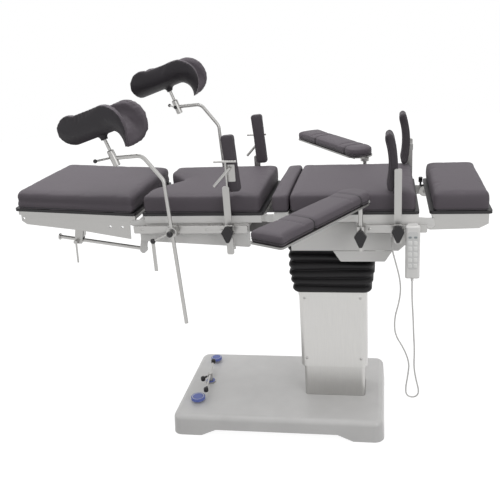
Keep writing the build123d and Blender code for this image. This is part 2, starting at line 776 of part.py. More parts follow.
def make_bellows():
    """Pleated boot: sharp folds round a rounded rectangle, drawn in to the column at the foot."""
    fold = BELLOWS_HEIGHT / BELLOWS_FOLDS
    foot = BELLOWS_BOTTOM
    levels = []
    for index in range(2 * BELLOWS_FOLDS + 1):
        ridge = index % 2
        rise = min(1.0, index / BELLOWS_TAPER_STEPS)
        inset = (1 - rise) * BELLOWS_TAPER + (0 if ridge else BELLOWS_FOLD_DEPTH)
        levels.append((foot + fold * index / 2, inset))
    with BuildPart() as bellows:
        for z, inset in levels:
            with BuildSketch(top_plane(z, COLUMN_X)):
                RectangleRounded(
                    BELLOWS_LENGTH - 2 * inset, BELLOWS_WIDTH - 2 * inset, BELLOWS_CORNER - inset / 2
                )
        loft(ruled=True)
        with BuildSketch(top_plane(foot, COLUMN_X)):
            RectangleRounded(
                BELLOWS_LENGTH - 2 * bellows_bore, BELLOWS_WIDTH - 2 * bellows_bore, BELLOWS_WALL * 2
            )
        extrude(amount=BELLOWS_HEIGHT, mode=Mode.SUBTRACT)
    return bellows.part


# Body under the top

bellows_bore = BELLOWS_TAPER + BELLOWS_FOLD_DEPTH + BELLOWS_WALL


def make_saddle():
    """Welded saddle: ears on the lengthwise trunnions, a plate, and two long box beams."""
    with BuildPart() as saddle:
        with BuildSketch(end_plane(COLUMN_X + yoke_inner)):
            with Locations((0, GIMBAL_Z)):
                Circle(ear_round)
            with BuildLine():
                Polyline(
                    (-EAR_HALF_WIDTH, SADDLE_PLATE_Z),
                    (EAR_HALF_WIDTH, SADDLE_PLATE_Z),
                    (ear_round, GIMBAL_Z),
                    (-ear_round, GIMBAL_Z),
                    close=True,
                )
            make_face()
            with Locations((0, GIMBAL_Z)):
                Circle(TRUNNION_RADIUS, mode=Mode.SUBTRACT)
        extrude(amount=EAR_THICKNESS)
        mirror(about=end_plane(COLUMN_X))
        with BuildSketch(top_plane(SADDLE_PLATE_Z, COLUMN_X)):
            RectangleRounded(SADDLE_LENGTH, 2 * (BEAM_Y + BEAM_WIDTH / 2), SADDLE_CORNER)
        extrude(amount=SADDLE_THICKNESS)
        with BuildSketch(top_plane(SADDLE_PLATE_Z + SADDLE_THICKNESS, COLUMN_X)):
            with Locations((0, -BEAM_Y), (0, BEAM_Y)):
                Rectangle(SADDLE_LENGTH - 2 * SADDLE_CORNER, BEAM_WIDTH)
        extrude(amount=BEAM_Z - SADDLE_PLATE_Z - SADDLE_THICKNESS)
        with BuildSketch(end_plane(BEAM_START)):
            with Locations((-BEAM_Y, BEAM_Z + BEAM_HEIGHT / 2), (BEAM_Y, BEAM_Z + BEAM_HEIGHT / 2)):
                RectangleRounded(BEAM_WIDTH, BEAM_HEIGHT, BEAM_WALL)
                Rectangle(BEAM_WIDTH - 2 * BEAM_WALL, BEAM_HEIGHT - 2 * BEAM_WALL, mode=Mode.SUBTRACT)
        extrude(amount=BEAM_END - BEAM_START)
        for x in (BEAM_END - BEAM_WIDTH / 2, COLUMN_X + SADDLE_LENGTH / 2, COLUMN_X - SADDLE_LENGTH / 2):
            with BuildSketch(top_plane(BEAM_Z, x)):
                Rectangle(BEAM_WIDTH, 2 * BEAM_Y - BEAM_WIDTH)
            extrude(amount=BEAM_HEIGHT * 0.8)
    return saddle.part


def housing_block(shrink):
    """Solid form of the housing, drawn smaller by a sheet thickness for its inside."""
    half = HOUSING_HALF_WIDTH - shrink
    low = HOUSING_BOTTOM + shrink
    with BuildPart() as block:
        with BuildSketch(end_plane(HOUSING_START - shrink)) as section:
            with BuildLine():
                Polyline(
                    (-half, HOUSING_TOP + shrink),
                    (-half, HOUSING_FOLD_Z),
                    (-half + HOUSING_FOLD_IN, low),
                    (half - HOUSING_FOLD_IN, low),
                    (half, HOUSING_FOLD_Z),
                    (half, HOUSING_TOP + shrink),
                    close=True,
                )
            make_face()
            fillet(section.vertices().filter_by(lambda v: v.Y < HOUSING_TOP - 1), HOUSING_BEND - shrink)
        extrude(amount=HOUSING_END - HOUSING_START)
        with BuildSketch(side_plane()):
            with BuildLine():
                Polyline(
                    (HOUSING_END + 1, HOUSING_SLOPE_TOP + shrink),
                    (HOUSING_END - HOUSING_SLOPE_IN - shrink, HOUSING_BOTTOM - 1),
                    (HOUSING_END + 1, HOUSING_BOTTOM - 1),
                    close=True,
                )
            make_face()
        extrude(amount=TOP_WIDTH, both=True, mode=Mode.SUBTRACT)
    return block.part


def make_housing():
    """Sheet-metal housing open above and at the leg end, with the bellows' opening in its bottom."""
    inside = housing_block(HOUSING_SHEET)
    with BuildPart() as housing:
        add(housing_block(0.0))
        add(inside, mode=Mode.SUBTRACT)
        with BuildSketch(top_plane(HOUSING_BOTTOM - 1, COLUMN_X)):
            RectangleRounded(
                BELLOWS_LENGTH - 2 * bellows_bore, BELLOWS_WIDTH - 2 * bellows_bore, BELLOWS_WALL * 2
            )
        extrude(amount=HOUSING_BEND, mode=Mode.SUBTRACT)
        for side in (-1, 1):
            with BuildSketch(side_plane(side * HOUSING_HALF_WIDTH, SEAM_X, HOUSING_TOP)):
                Rectangle(SEAM_WIDTH, 2 * (HOUSING_TOP - HOUSING_FOLD_Z) - 2 * HOUSING_BEND)
            extrude(amount=SEAM_DEPTH, both=True, mode=Mode.SUBTRACT)
    return housing.part


def make_undertray():
    """Folded tray under the housing: two side skirts and a sloping wall at the head end."""
    tray_y = HOUSING_HALF_WIDTH - HOUSING_FOLD_IN
    low = HOUSING_BOTTOM - TRAY_DEPTH
    with BuildPart() as undertray:
        with BuildSketch(side_plane()) as outline:
            with BuildLine():
                Polyline(
                    (TRAY_START, HOUSING_BOTTOM),
                    (TRAY_START + TRAY_SLOPE, low),
                    (TRAY_END - TRAY_SLOPE, low),
                    (TRAY_END, HOUSING_BOTTOM),
                    close=True,
                )
            make_face()
            fillet(outline.vertices().sort_by(Axis.Y)[:2], HOUSING_BEND)
        extrude(amount=tray_y, both=True)
        with BuildSketch(side_plane()) as hollow:
            with BuildLine():
                Polyline(
                    (TRAY_START - 1, HOUSING_BOTTOM + 1),
                    (TRAY_START - 1, low - 1),
                    (TRAY_END - TRAY_SLOPE - HOUSING_SHEET, low - 1),
                    (TRAY_END - HOUSING_SHEET - TRAY_SLOPE / TRAY_DEPTH, HOUSING_BOTTOM + 1),
                    close=True,
                )
            make_face()
        extrude(amount=tray_y - HOUSING_SHEET, both=True, mode=Mode.SUBTRACT)
    return undertray.part


# Sections of the top


def seat_plan(start, end, half, corner, inset):
    """Outline of the seat at some level: a rounded rectangle with the opening at its leg end."""
    slope = CUTOUT_HALF_MOUTH / CUTOUT_DEPTH
    apex = SEAT_PAD_START + CUTOUT_DEPTH - inset * sqrt(1 + slope**2) / slope
    mouth = start - CUTOUT_RUN
    lip_half = slope * (apex - start)
    with BuildSketch() as plan:
        with Locations(((start + end) / 2, 0)):
            RectangleRounded(end - start, 2 * half, corner)
        with BuildLine():
            Polyline(
                (apex, 0), (mouth, slope * (apex - mouth)), (mouth, -slope * (apex - mouth)), close=True
            )
        make_face(mode=Mode.SUBTRACT)
        inner = plan.vertices().filter_by(lambda v: abs(v.Y) < lip_half + 1)
        fillet(inner.sort_by(Axis.X)[-1], CUTOUT_APEX_RADIUS)
        inner = plan.vertices().filter_by(lambda v: abs(abs(v.Y) - lip_half) < 1)
        fillet(inner, CUTOUT_LIP_RADIUS)
    return plan.sketch


def slab_plan(start, end, half, corner):
    """Rounded rectangle between two lengthwise places."""
    with BuildSketch() as plan:
        with Locations(((start + end) / 2, 0)):
            RectangleRounded(end - start, 2 * half, corner)
    return plan.sketch


def make_cushion(plane, plan, span, thickness=PAD_THICKNESS, crown=PAD_CROWN, edge=PAD_EDGE_RADIUS):
    """Upholstered cushion from a level outline: crowned top, drawn-in sides and soft edges."""
    middle = Plane(plane.origin + plane.z_dir * (thickness / 2), x_dir=plane.x_dir, z_dir=plane.z_dir)
    under = Plane(middle.origin, x_dir=plane.x_dir, z_dir=-plane.z_dir)
    across = Plane(plane.origin, x_dir=plane.y_dir, z_dir=plane.x_dir)
    rise = Axis(plane.origin, plane.z_dir)
    with BuildPart() as cushion:
        with BuildSketch(middle):
            add(plan)
        extrude(amount=thickness / 2, taper=PAD_TAPER)
        with BuildSketch(under):
            add(plan)
        extrude(amount=thickness / 2, taper=PAD_TAPER)
        with BuildSketch(across):
            with BuildLine():
                Line((-span, thickness - crown), (-span, 0))
                Line((-span, 0), (span, 0))
                Line((span, 0), (span, thickness - crown))
                ThreePointArc((-span, thickness - crown), (0, thickness), (span, thickness - crown))
            make_face()
        extrude(amount=TOP_LENGTH, both=True, mode=Mode.INTERSECT)
        fillet(cushion.faces().sort_by(rise)[-1].edges(), edge)
        fillet(cushion.faces().sort_by(rise)[0].edges(), PAD_HEM)
    return cushion.part


def make_board(plane, plan):
    """Dark composite board that carries a cushion."""
    with BuildPart() as board:
        with BuildSketch(plane):
            add(plan)
        extrude(amount=BOARD_THICKNESS)
    return board.part


def frame_deck(start, end, half, openings):
    """Outline of a flat frame with rectangular openings, each given by its two ends."""
    inner = 2 * (half - FRAME_BEAM)
    with BuildSketch() as deck:
        with Locations(((start + end) / 2, 0)):
            Rectangle(end - start, 2 * half)
        for low, high in openings:
            with Locations(((low + high) / 2, 0)):
                RectangleRounded(high - low, inner, FRAME_BEAM / 4, mode=Mode.SUBTRACT)
    return deck.sketch


leg_sin = sin(radians(LEG_REST_TILT))
leg_cos = cos(radians(LEG_REST_TILT))
leg_x, leg_z = LEG_HINGE
back_x, back_z = BACK_HINGE
head_x, head_z = HEAD_HINGE
leg_pad_w = pad_bottom - leg_z
leg_board_w = board_bottom - leg_z
leg_deck_w = leg_board_w - LEG_DECK_DEPTH
leg_end_u = LEG_PAD_END - leg_x
leg_tip_u = leg_end_u - LEG_PAD_LENGTH
leg_plate_y = frame_half - LEG_PLATE_INSET


def leg_top(w):
    """Plane of the leg section at a height above its hinge, square to the section."""
    return Plane(
        origin=(leg_x + w * leg_sin, 0, leg_z + w * leg_cos),
        x_dir=(leg_cos, 0, -leg_sin),
        z_dir=(leg_sin, 0, leg_cos),
    )


def leg_side(y):
    """Plane of the leg section seen from the near side, with its origin on the hinge."""
    return Plane(origin=(leg_x, y, leg_z), x_dir=(leg_cos, 0, -leg_sin), z_dir=(0, -1, 0))


def make_leg_frame():
    """Leg frame: deck with cross beams, two deep tapered side plates and three cross tubes."""
    deck_end = leg_end_u - HINGE_PLATE
    deck_start = leg_tip_u + BOARD_REACH
    span = deck_end - deck_start
    openings = [
        (deck_start + FRAME_BEAM, deck_start + span * 0.36),
        (deck_start + span * 0.36 + FRAME_BEAM, deck_start + span * 0.68),
        (deck_start + span * 0.68 + FRAME_BEAM, deck_end - FRAME_BEAM),
    ]
    with BuildPart() as leg_frame:
        with BuildSketch(leg_top(leg_deck_w)):
            add(frame_deck(deck_start, deck_end, frame_half - LEG_DECK_INSET, openings))
        extrude(amount=LEG_DECK_DEPTH)
        with BuildSketch(leg_side(-leg_plate_y + HINGE_PLATE)) as plate:
            with BuildLine():
                Polyline(
                    (0, HINGE_LUG_RADIUS),
                    (-LEG_NECK, leg_deck_w),
                    (deck_start, leg_deck_w),
                    (deck_start, -LEG_LUG_DROP),
                    (deck_start + LEG_LUG_LENGTH, -LEG_DEPTH_TIP),
                    (-LEG_MIDDLE, -LEG_DEPTH_MIDDLE),
                    (-LEG_NECK, -LEG_DEPTH_ROOT),
                    (-LEG_NECK, -HINGE_LUG_RADIUS),
                    (0, -HINGE_LUG_RADIUS),
                    close=True,
                )
            make_face()
            Circle(HINGE_LUG_RADIUS)
            Circle(bore_radius, mode=Mode.SUBTRACT)
            with Locations(
                (deck_start + LEG_LUG_LENGTH / 2, -HINGE_PLATE),
                (-LEG_HOLE_NEAR, -LEG_HOLE_DROP),
                (-LEG_HOLE_FAR, -LEG_HOLE_DROP),
            ):
                Circle(LEG_HOLE_RADIUS, mode=Mode.SUBTRACT)
        extrude(amount=HINGE_PLATE)
        mirror(about=Plane.XZ)
        for u, w, width, height in LEG_CROSS_TUBES:
            with BuildSketch(leg_side(0)):
                with Locations((u, w)):
                    RectangleRounded(width, height, LEG_TUBE_CORNER)
            extrude(amount=leg_plate_y - HINGE_PLATE, both=True)
    return leg_frame.part


def make_strut_clamp():
    """Open stirrup under the leg frame: two cheeks, a black pad over the rod and a hanging T-screw."""
    tube_u, tube_w, tube_width, tube_height = LEG_CROSS_TUBES[1]
    top_w = tube_w - tube_height / 2
    cheek = STRUT_RADIUS + STRUT_CHEEK_GAP
    with BuildPart() as strut_clamp:
        for side in (-1, 1):
            inner = STRUT_Y + side * cheek
            with BuildSketch(leg_side(inner)) as plate:
                with BuildLine():
                    Polyline(
                        (tube_u - tube_width, top_w),
                        (tube_u + tube_width, top_w),
                        (tube_u + tube_width / 3, STRUT_CHEEK_LOW),
                        (tube_u - tube_width * 1.6, STRUT_CHEEK_LOW),
                        close=True,
                    )
                make_face()
                fillet(plate.vertices().sort_by(Axis.Y)[:2], STRUT_RADIUS / 2)
            extrude(amount=-side * STRUT_CHEEK)
        with BuildSketch(leg_side(STRUT_Y)) as pad:
            with Locations((tube_u, top_w)):
                Rectangle(2 * tube_width, STRUT_PAD_HEIGHT, align=(Align.CENTER, Align.MAX))
            fillet(pad.vertices().sort_by(Axis.Y)[:2], STRUT_PAD_ROUND)
        extrude(amount=cheek, both=True)
        screw_y = STRUT_Y - cheek - STRUT_CHEEK
        screw_u = tube_u - tube_width * 0.9
        screw_w = STRUT_CHEEK_LOW + STRUT_RADIUS * 1.5
        with BuildSketch(leg_side(screw_y)):
            with Locations((screw_u, screw_w)):
                Circle(STRUT_RADIUS)
        extrude(amount=STRUT_SCREW)
        with BuildSketch(leg_top(screw_w)):
            with Locations((screw_u, screw_y - STRUT_SCREW + STRUT_RADIUS)):
                Circle(STRUT_RADIUS / 2)
        extrude(amount=-STRUT_TEE)
    return strut_clamp.part


def make_strut_rod():
    """Support rod of the leg section: an eye on the seat bracket and a flange at the free end."""
    pivot_x, pivot_z = STRUT_PIVOT
    rise = atan2(STRUT_END[1] - pivot_z, pivot_x - STRUT_END[0])
    length = sqrt((STRUT_END[0] - pivot_x) ** 2 + (STRUT_END[1] - pivot_z) ** 2)
    along = Plane(
        origin=(pivot_x, STRUT_Y, pivot_z),
        x_dir=(0, 1, 0),
        z_dir=(-cos(rise), 0, sin(rise)),
    )
    with BuildPart() as strut_rod:
        with BuildSketch(side_plane(STRUT_Y, pivot_x, pivot_z)):
            Circle(STRUT_EYE_RADIUS)
        extrude(amount=STRUT_EYE / 2, both=True)
        with BuildSketch(along.offset(STRUT_EYE_RADIUS / 2)):
            Circle(STRUT_RADIUS)
        extrude(amount=length - STRUT_EYE_RADIUS / 2)
        with BuildSketch(along.offset(length)):
            Circle(STRUT_FLANGE_RADIUS)
        extrude(amount=STRUT_CHEEK)
        with BuildSketch(side_plane(STRUT_Y, pivot_x, pivot_z)):
            Circle(STRUT_PIN_RADIUS + PIN_CLEARANCE)
        extrude(amount=STRUT_EYE, both=True, mode=Mode.SUBTRACT)
    return strut_rod.part


def make_seat_frame():
    """Seat frame: open deck, deep side plates, hinge lugs with their pins and the strut bracket."""
    deck_start = SEAT_PAD_START + HINGE_PLATE
    deck_end = SEAT_PAD_END - HINGE_PLATE
    notch = SEAT_PAD_START + CUTOUT_DEPTH + FRAME_BEAM
    plate_y = frame_half - SEAT_PLATE_INSET
    lug_y = plate_y - HINGE_PLATE
    with BuildPart() as seat_frame:
        with BuildSketch(top_plane(frame_bottom)):
            add(frame_deck(deck_start, deck_end, frame_half, [(notch + FRAME_BEAM, deck_end - FRAME_BEAM)]))
            with Locations(((deck_start + notch) / 2, 0)):
                Rectangle(notch - deck_start + 1, 2 * (frame_half - FRAME_BEAM), mode=Mode.SUBTRACT)
        extrude(amount=FRAME_DEPTH)
        with BuildSketch(side_plane(-plate_y + HINGE_PLATE)) as plate:
            with BuildLine():
                Polyline(
                    (SEAT_PLATE_START, frame_bottom + HINGE_PLATE),
                    (SEAT_PLATE_START, SEAT_PLATE_LOW_LEG),
                    (SEAT_PLATE_END, SEAT_PLATE_LOW_BACK),
                    (SEAT_PLATE_END, frame_bottom + HINGE_PLATE),
                    close=True,
                )
            make_face()
            fillet(plate.vertices().sort_by(Axis.Y)[:2], HINGE_PLATE * 2)
            with BuildLine():
                Polyline(
                    (leg_x, leg_z + HINGE_LUG_RADIUS),
                    (SEAT_PLATE_START + 1, leg_z + HINGE_LUG_RADIUS),
                    (SEAT_PLATE_START + 1, leg_z - HINGE_LUG_RADIUS * 2.4),
                    (leg_x, leg_z - HINGE_LUG_RADIUS),
                    close=True,
                )
            make_face()
            with Locations((leg_x, leg_z)):
                Circle(HINGE_LUG_RADIUS)
            with Locations((SEAT_SLOT_X, (SEAT_PLATE_LOW_LEG + RAIL_TOP) / 2 - RAIL_HEIGHT / 2)):
                SlotOverall(RAIL_HEIGHT, SEAT_SLOT_WIDTH, rotation=90, mode=Mode.SUBTRACT)
        extrude(amount=HINGE_PLATE)
        with BuildSketch(side_plane(-leg_plate_y + HINGE_PLATE + 1, leg_x, leg_z)):
            Circle(HINGE_PIN_RADIUS)
        extrude(amount=plate_y - leg_plate_y + HINGE_PLATE)
        with BuildSketch(side_plane(-BACK_LUG_Y + HINGE_PLATE)):
            with BuildLine():
                Polyline(
                    (deck_end - FRAME_BEAM, frame_bottom),
                    (back_x, back_z - BACK_LUG_RADIUS),
                    (back_x, back_z + BACK_LUG_RADIUS),
                    (deck_end - 1, board_bottom),
                    (deck_end - FRAME_BEAM, board_bottom),
                    close=True,
                )
            make_face()
            with Locations((back_x, back_z)):
                Circle(BACK_LUG_RADIUS)
        extrude(amount=HINGE_PLATE)
        with BuildSketch(side_plane(-BACK_LUG_Y + HINGE_PLATE, back_x, back_z)):
            Circle(HINGE_PIN_RADIUS)
        extrude(amount=2 * HINGE_PLATE + RUNNING_GAP)
        with BuildSketch(top_plane(SEAT_CROSS_Z, SEAT_PLATE_START + SEAT_CROSS / 2)):
            Rectangle(SEAT_CROSS, 2 * plate_y - HINGE_PLATE)
        extrude(amount=frame_bottom + HINGE_PLATE * 2 - SEAT_CROSS_Z)
        with BuildSketch(side_plane(-plate_y + HINGE_PLATE)):
            with Locations((SEAT_PLATE_END - SEAT_CROSS, RAIL_TOP)):
                Rectangle(SEAT_CROSS * 2, SEAT_BLOCK, align=(Align.CENTER, Align.MAX))
        extrude(amount=SEAT_BLOCK_DEPTH)
        mirror(about=Plane.XZ)
        for x in (SEAT_PLATE_START + SEAT_CROSS * 2.2, SEAT_PLATE_END - SEAT_CROSS):
            with BuildSketch(end_plane(x)):
                with Locations((0, BEAM_Z + BEAM_HEIGHT)):
                    Rectangle(2 * plate_y - HINGE_PLATE, SEAT_TIE, align=(Align.CENTER, Align.MIN))
            extrude(amount=SEAT_CROSS)
        pivot_x, pivot_z = STRUT_PIVOT
        with BuildSketch(side_plane(STRUT_Y - STRUT_RADIUS - RUNNING_GAP)) as bracket:
            with BuildLine():
                Polyline(
                    (pivot_x - STRUT_EYE_RADIUS, pivot_z),
                    (pivot_x + STRUT_EYE_RADIUS, pivot_z),
                    (SEAT_PLATE_START + SEAT_CROSS, SEAT_CROSS_Z),
                    (SEAT_PLATE_START + SEAT_CROSS, SEAT_CROSS_Z + SEAT_TIE),
                    (SEAT_PLATE_START, SEAT_CROSS_Z + SEAT_TIE),
                    (SEAT_PLATE_START, SEAT_CROSS_Z),
                    close=True,
                )
            make_face()
            with Locations((pivot_x, pivot_z)):
                Circle(STRUT_EYE_RADIUS)
        extrude(amount=STRUT_BRACKET)
        with BuildSketch(side_plane(STRUT_Y + STRUT_EYE / 2, pivot_x, pivot_z)):
            Circle(STRUT_PIN_RADIUS)
        extrude(amount=STRUT_EYE / 2 + STRUT_RADIUS + STRUT_BRACKET)
    return seat_frame.part


def make_rails(start, end, spacers, inner):
    """Pair of flat accessory rails, each on round spacers, with rounded ends."""
    with BuildPart() as rails:
        with BuildSketch(side_plane(-rail_back)) as bar:
            with Locations(((start + end) / 2, rail_mid_z)):
                RectangleRounded(end - start, RAIL_HEIGHT, RAIL_CORNER)
        extrude(amount=RAIL_THICKNESS)
        fillet(rails.edges().filter_by(Axis.X), RAIL_EDGE)
        with BuildSketch(side_plane(-inner)):
            with Locations(*[(x, rail_mid_z) for x in spacers]):
                Circle(RAIL_SPACER_RADIUS)
        extrude(amount=rail_back - inner)
        mirror(about=Plane.XZ)
    return rails.part


def make_back_frame():
    """Back frame: deck with cross beams, side flanges, hinge knuckles, head arms and lift guides."""
    deck_start = back_x + BACK_LUG_RADIUS + HINGE_PLATE - 1
    deck_end = BACK_PAD_END + HINGE_PLATE - 1
    cross = (BACK_PAD_START, BACK_CROSS_X, deck_end - FRAME_BEAM)
    openings = [
        (deck_start + FRAME_BEAM * 2, cross[0] + FRAME_BEAM * 1.6),
        (cross[0] + FRAME_BEAM * 2.6, cross[1]),
        (cross[1] + FRAME_BEAM, cross[2]),
    ]
    knuckle_y = BACK_LUG_Y + RUNNING_GAP + HINGE_PLATE
    flange_y = frame_half
    with BuildPart() as back_frame:
        with BuildSketch(top_plane(frame_bottom)):
            add(frame_deck(deck_start, deck_end, frame_half, openings))
        extrude(amount=FRAME_DEPTH)
        with BuildSketch(side_plane(-flange_y + HINGE_PLATE)):
            with Locations(((BACK_RAIL_START + deck_end) / 2, RAIL_TOP - RAIL_HEIGHT)):
                Rectangle(
                    deck_end - BACK_RAIL_START,
                    frame_bottom - RAIL_TOP + RAIL_HEIGHT + 1,
                    align=(Align.CENTER, Align.MIN),
                )
        extrude(amount=HINGE_PLATE)
        with BuildSketch(side_plane(-knuckle_y + HINGE_PLATE)):
            with BuildLine():
                Polyline(
                    (back_x, back_z - BACK_LUG_RADIUS),
                    (deck_start + FRAME_BEAM, frame_bottom),
                    (deck_start + FRAME_BEAM, board_bottom),
                    (deck_start, board_bottom),
                    (back_x, back_z + BACK_LUG_RADIUS),
                    close=True,
                )
            make_face()
            with Locations((back_x, back_z)):
                Circle(BACK_LUG_RADIUS)
                Circle(bore_radius, mode=Mode.SUBTRACT)
        extrude(amount=HINGE_PLATE)
        with BuildSketch(side_plane(-HEAD_ARM_Y + HINGE_PLATE)):
            with BuildLine():
                Polyline(
                    (deck_end - FRAME_BEAM * 2, frame_bottom),
                    (deck_end - FRAME_BEAM * 2, head_z - HINGE_LUG_RADIUS),
                    (head_x, head_z - HINGE_LUG_RADIUS),
                    (head_x + HINGE_LUG_RADIUS, head_z),
                    (head_x + HINGE_LUG_RADIUS * 0.8, head_z + HEAD_BOSS),
                    (deck_end, frame_bottom + HINGE_LUG_RADIUS),
                    close=True,
                )
            make_face()
            with Locations((head_x, head_z)):
                Circle(HINGE_LUG_RADIUS)
        extrude(amount=HINGE_PLATE)
        with BuildSketch(side_plane(-HEAD_ARM_Y + 2 * HINGE_PLATE + RUNNING_GAP, head_x, head_z)):
            Circle(HINGE_PIN_RADIUS)
        extrude(amount=2 * HINGE_PLATE + RUNNING_GAP)
        with BuildSketch(top_plane(KIDNEY_GUIDE_LOW, KIDNEY_POST_X, -KIDNEY_POST_Y)):
            Circle(KIDNEY_POST_RADIUS + KIDNEY_GUIDE_WALL)
        extrude(amount=board_bottom - KIDNEY_GUIDE_LOW)
        mirror(about=Plane.XZ)
        with BuildSketch(top_plane(KIDNEY_GUIDE_LOW, KIDNEY_POST_X)):
            with Locations((0, -KIDNEY_POST_Y), (0, KIDNEY_POST_Y)):
                Circle(KIDNEY_POST_RADIUS + PIN_CLEARANCE)
        extrude(amount=TOP_HEIGHT, mode=Mode.SUBTRACT)
        gland_x, gland_y, gland_z = CORD_POINTS[-1]
        with BuildSketch(top_plane(gland_z, gland_x, gland_y)):
            Circle(GLAND_RADIUS)
            with Locations((0, GLAND_RADIUS / 2)):
                Rectangle(2 * GLAND_RADIUS, GLAND_RADIUS)
        extrude(amount=GLAND_LENGTH)
        with BuildSketch(top_plane(RAIL_TOP - RAIL_HEIGHT, gland_x, -frame_half)):
            Rectangle(2 * GLAND_RADIUS, 2 * (-frame_half - gland_y))
        extrude(amount=GLAND_RADIUS)
    return back_frame.part


def make_kidney_carriage():
    """Kidney bridge carriage: a plate under its cushion on two sliding posts."""
    start = SEAT_PAD_END + KIDNEY_PLATE_GAP
    end = BACK_PAD_START - BOARD_REACH
    with BuildPart() as kidney_carriage:
        with BuildSketch(top_plane(board_bottom + RUNNING_GAP / 2)):
            add(slab_plan(start, end, half_width - BOARD_INSET, BOARD_CORNER))
        extrude(amount=BOARD_THICKNESS - RUNNING_GAP / 2)
        with BuildSketch(top_plane(board_bottom + RUNNING_GAP / 2, KIDNEY_POST_X)):
            with Locations((0, -KIDNEY_POST_Y), (0, KIDNEY_POST_Y)):
                Circle(KIDNEY_POST_RADIUS)
        extrude(amount=KIDNEY_POST_LOW - board_bottom)
    return kidney_carriage.part


def make_head_frame():
    """Head frame: deck between two side plates that hang on the pins of the back frame."""
    start = head_x + HINGE_PLATE
    end = half_length - HINGE_PLATE
    plate_y = HEAD_ARM_Y - HINGE_PLATE - RUNNING_GAP
    with BuildPart() as head_frame:
        with BuildSketch(top_plane(frame_bottom)):
            add(frame_deck(start, end, plate_y, [(start + FRAME_BEAM, end - FRAME_BEAM)]))
        extrude(amount=FRAME_DEPTH)
        with BuildSketch(side_plane(-plate_y + HINGE_PLATE)) as plate:
            with BuildLine():
                Polyline(
                    (head_x, head_z - HEAD_BOSS),
                    (end - HEAD_TAPER, head_z - HEAD_BOSS + HINGE_PLATE),
                    (end, head_z),
                    (end, frame_bottom + 1),
                    (head_x, frame_bottom + 1),
                    close=True,
                )
            make_face()
            with Locations((head_x, head_z)):
                Circle(HEAD_BOSS)
                Circle(bore_radius, mode=Mode.SUBTRACT)
        extrude(amount=HINGE_PLATE)
        mirror(about=Plane.XZ)
        with BuildSketch(end_plane(HEAD_KNOB_X, HEAD_KNOB_Y, frame_bottom + FRAME_DEPTH / 2)):
            Circle(LEVER_RADIUS)
        extrude(amount=start + 1 - HEAD_KNOB_X)
        with BuildSketch(top_plane(frame_bottom + FRAME_DEPTH / 2, HEAD_KNOB_X, HEAD_KNOB_Y)):
            Circle(LEVER_RADIUS)
        extrude(amount=HEAD_KNOB_Z - frame_bottom)
        with BuildSketch(top_plane(HEAD_KNOB_Z, HEAD_KNOB_X, HEAD_KNOB_Y)):
            Circle(HEAD_KNOB_RADIUS)
        extrude(amount=HEAD_KNOB_HEIGHT)
    return head_frame.part


# Accessories on the rails


def make_jaws(places, length):
    """Rail clamps: C-shaped jaws round the rail, each with a slot or a bore for its post."""
    slot_y = post_y
    with BuildPart() as jaws:
        for x, side, kind in places:
            with BuildSketch(end_plane(x - length / 2)):
                with Locations((side * (jaw_back + jaw_front) / 2, rail_mid_z)):
                    RectangleRounded(jaw_front - jaw_back, RAIL_HEIGHT + 2 * CLAMP_WALL, CLAMP_WALL / 2)
                with Locations((side * (rail_back + rail_front) / 2, rail_mid_z)):
                    Rectangle(
                        RAIL_THICKNESS + 2 * SLIDE_GAP, RAIL_HEIGHT + 2 * SLIDE_GAP, mode=Mode.SUBTRACT
                    )
                with Locations((side * jaw_back, rail_mid_z)):
                    Rectangle(4 * CLAMP_WALL, RAIL_HEIGHT - CLAMP_WALL, mode=Mode.SUBTRACT)
            extrude(amount=length)
            if kind == "slot":
                with BuildSketch(top_plane(RAIL_TOP - 2 * RAIL_HEIGHT, x, side * slot_y)):
                    Rectangle(POST_WIDTH + 2 * SLIDE_GAP, POST_THICKNESS + 2 * SLIDE_GAP)
                extrude(amount=4 * RAIL_HEIGHT, mode=Mode.SUBTRACT)
            if kind == "swivel":
                with BuildSketch(side_plane(side * (rail_front + SLIDE_GAP), x, rail_mid_z)):
                    Circle(SWIVEL_PIN_RADIUS + PIN_CLEARANCE)
                extrude(amount=-side * 2 * (jaw_front - rail_front), mode=Mode.SUBTRACT)
            if kind == "socket":
                with BuildSketch(top_plane(rail_mid_z - SOCKET_HEIGHT / 2, x, side * ARM_POST_Y)):
                    Circle(SOCKET_RADIUS)
                    with Locations((0, side * (jaw_front - ARM_POST_Y) / 2)):
                        Rectangle(2 * SOCKET_RADIUS, abs(ARM_POST_Y - jaw_front) + 1)
                extrude(amount=SOCKET_HEIGHT)
                with BuildSketch(top_plane(RAIL_TOP - 2 * RAIL_HEIGHT, x, side * ARM_POST_Y)):
                    Circle(ARM_POST_RADIUS + PIN_CLEARANCE)
                extrude(amount=4 * RAIL_HEIGHT, mode=Mode.SUBTRACT)
    return jaws.part


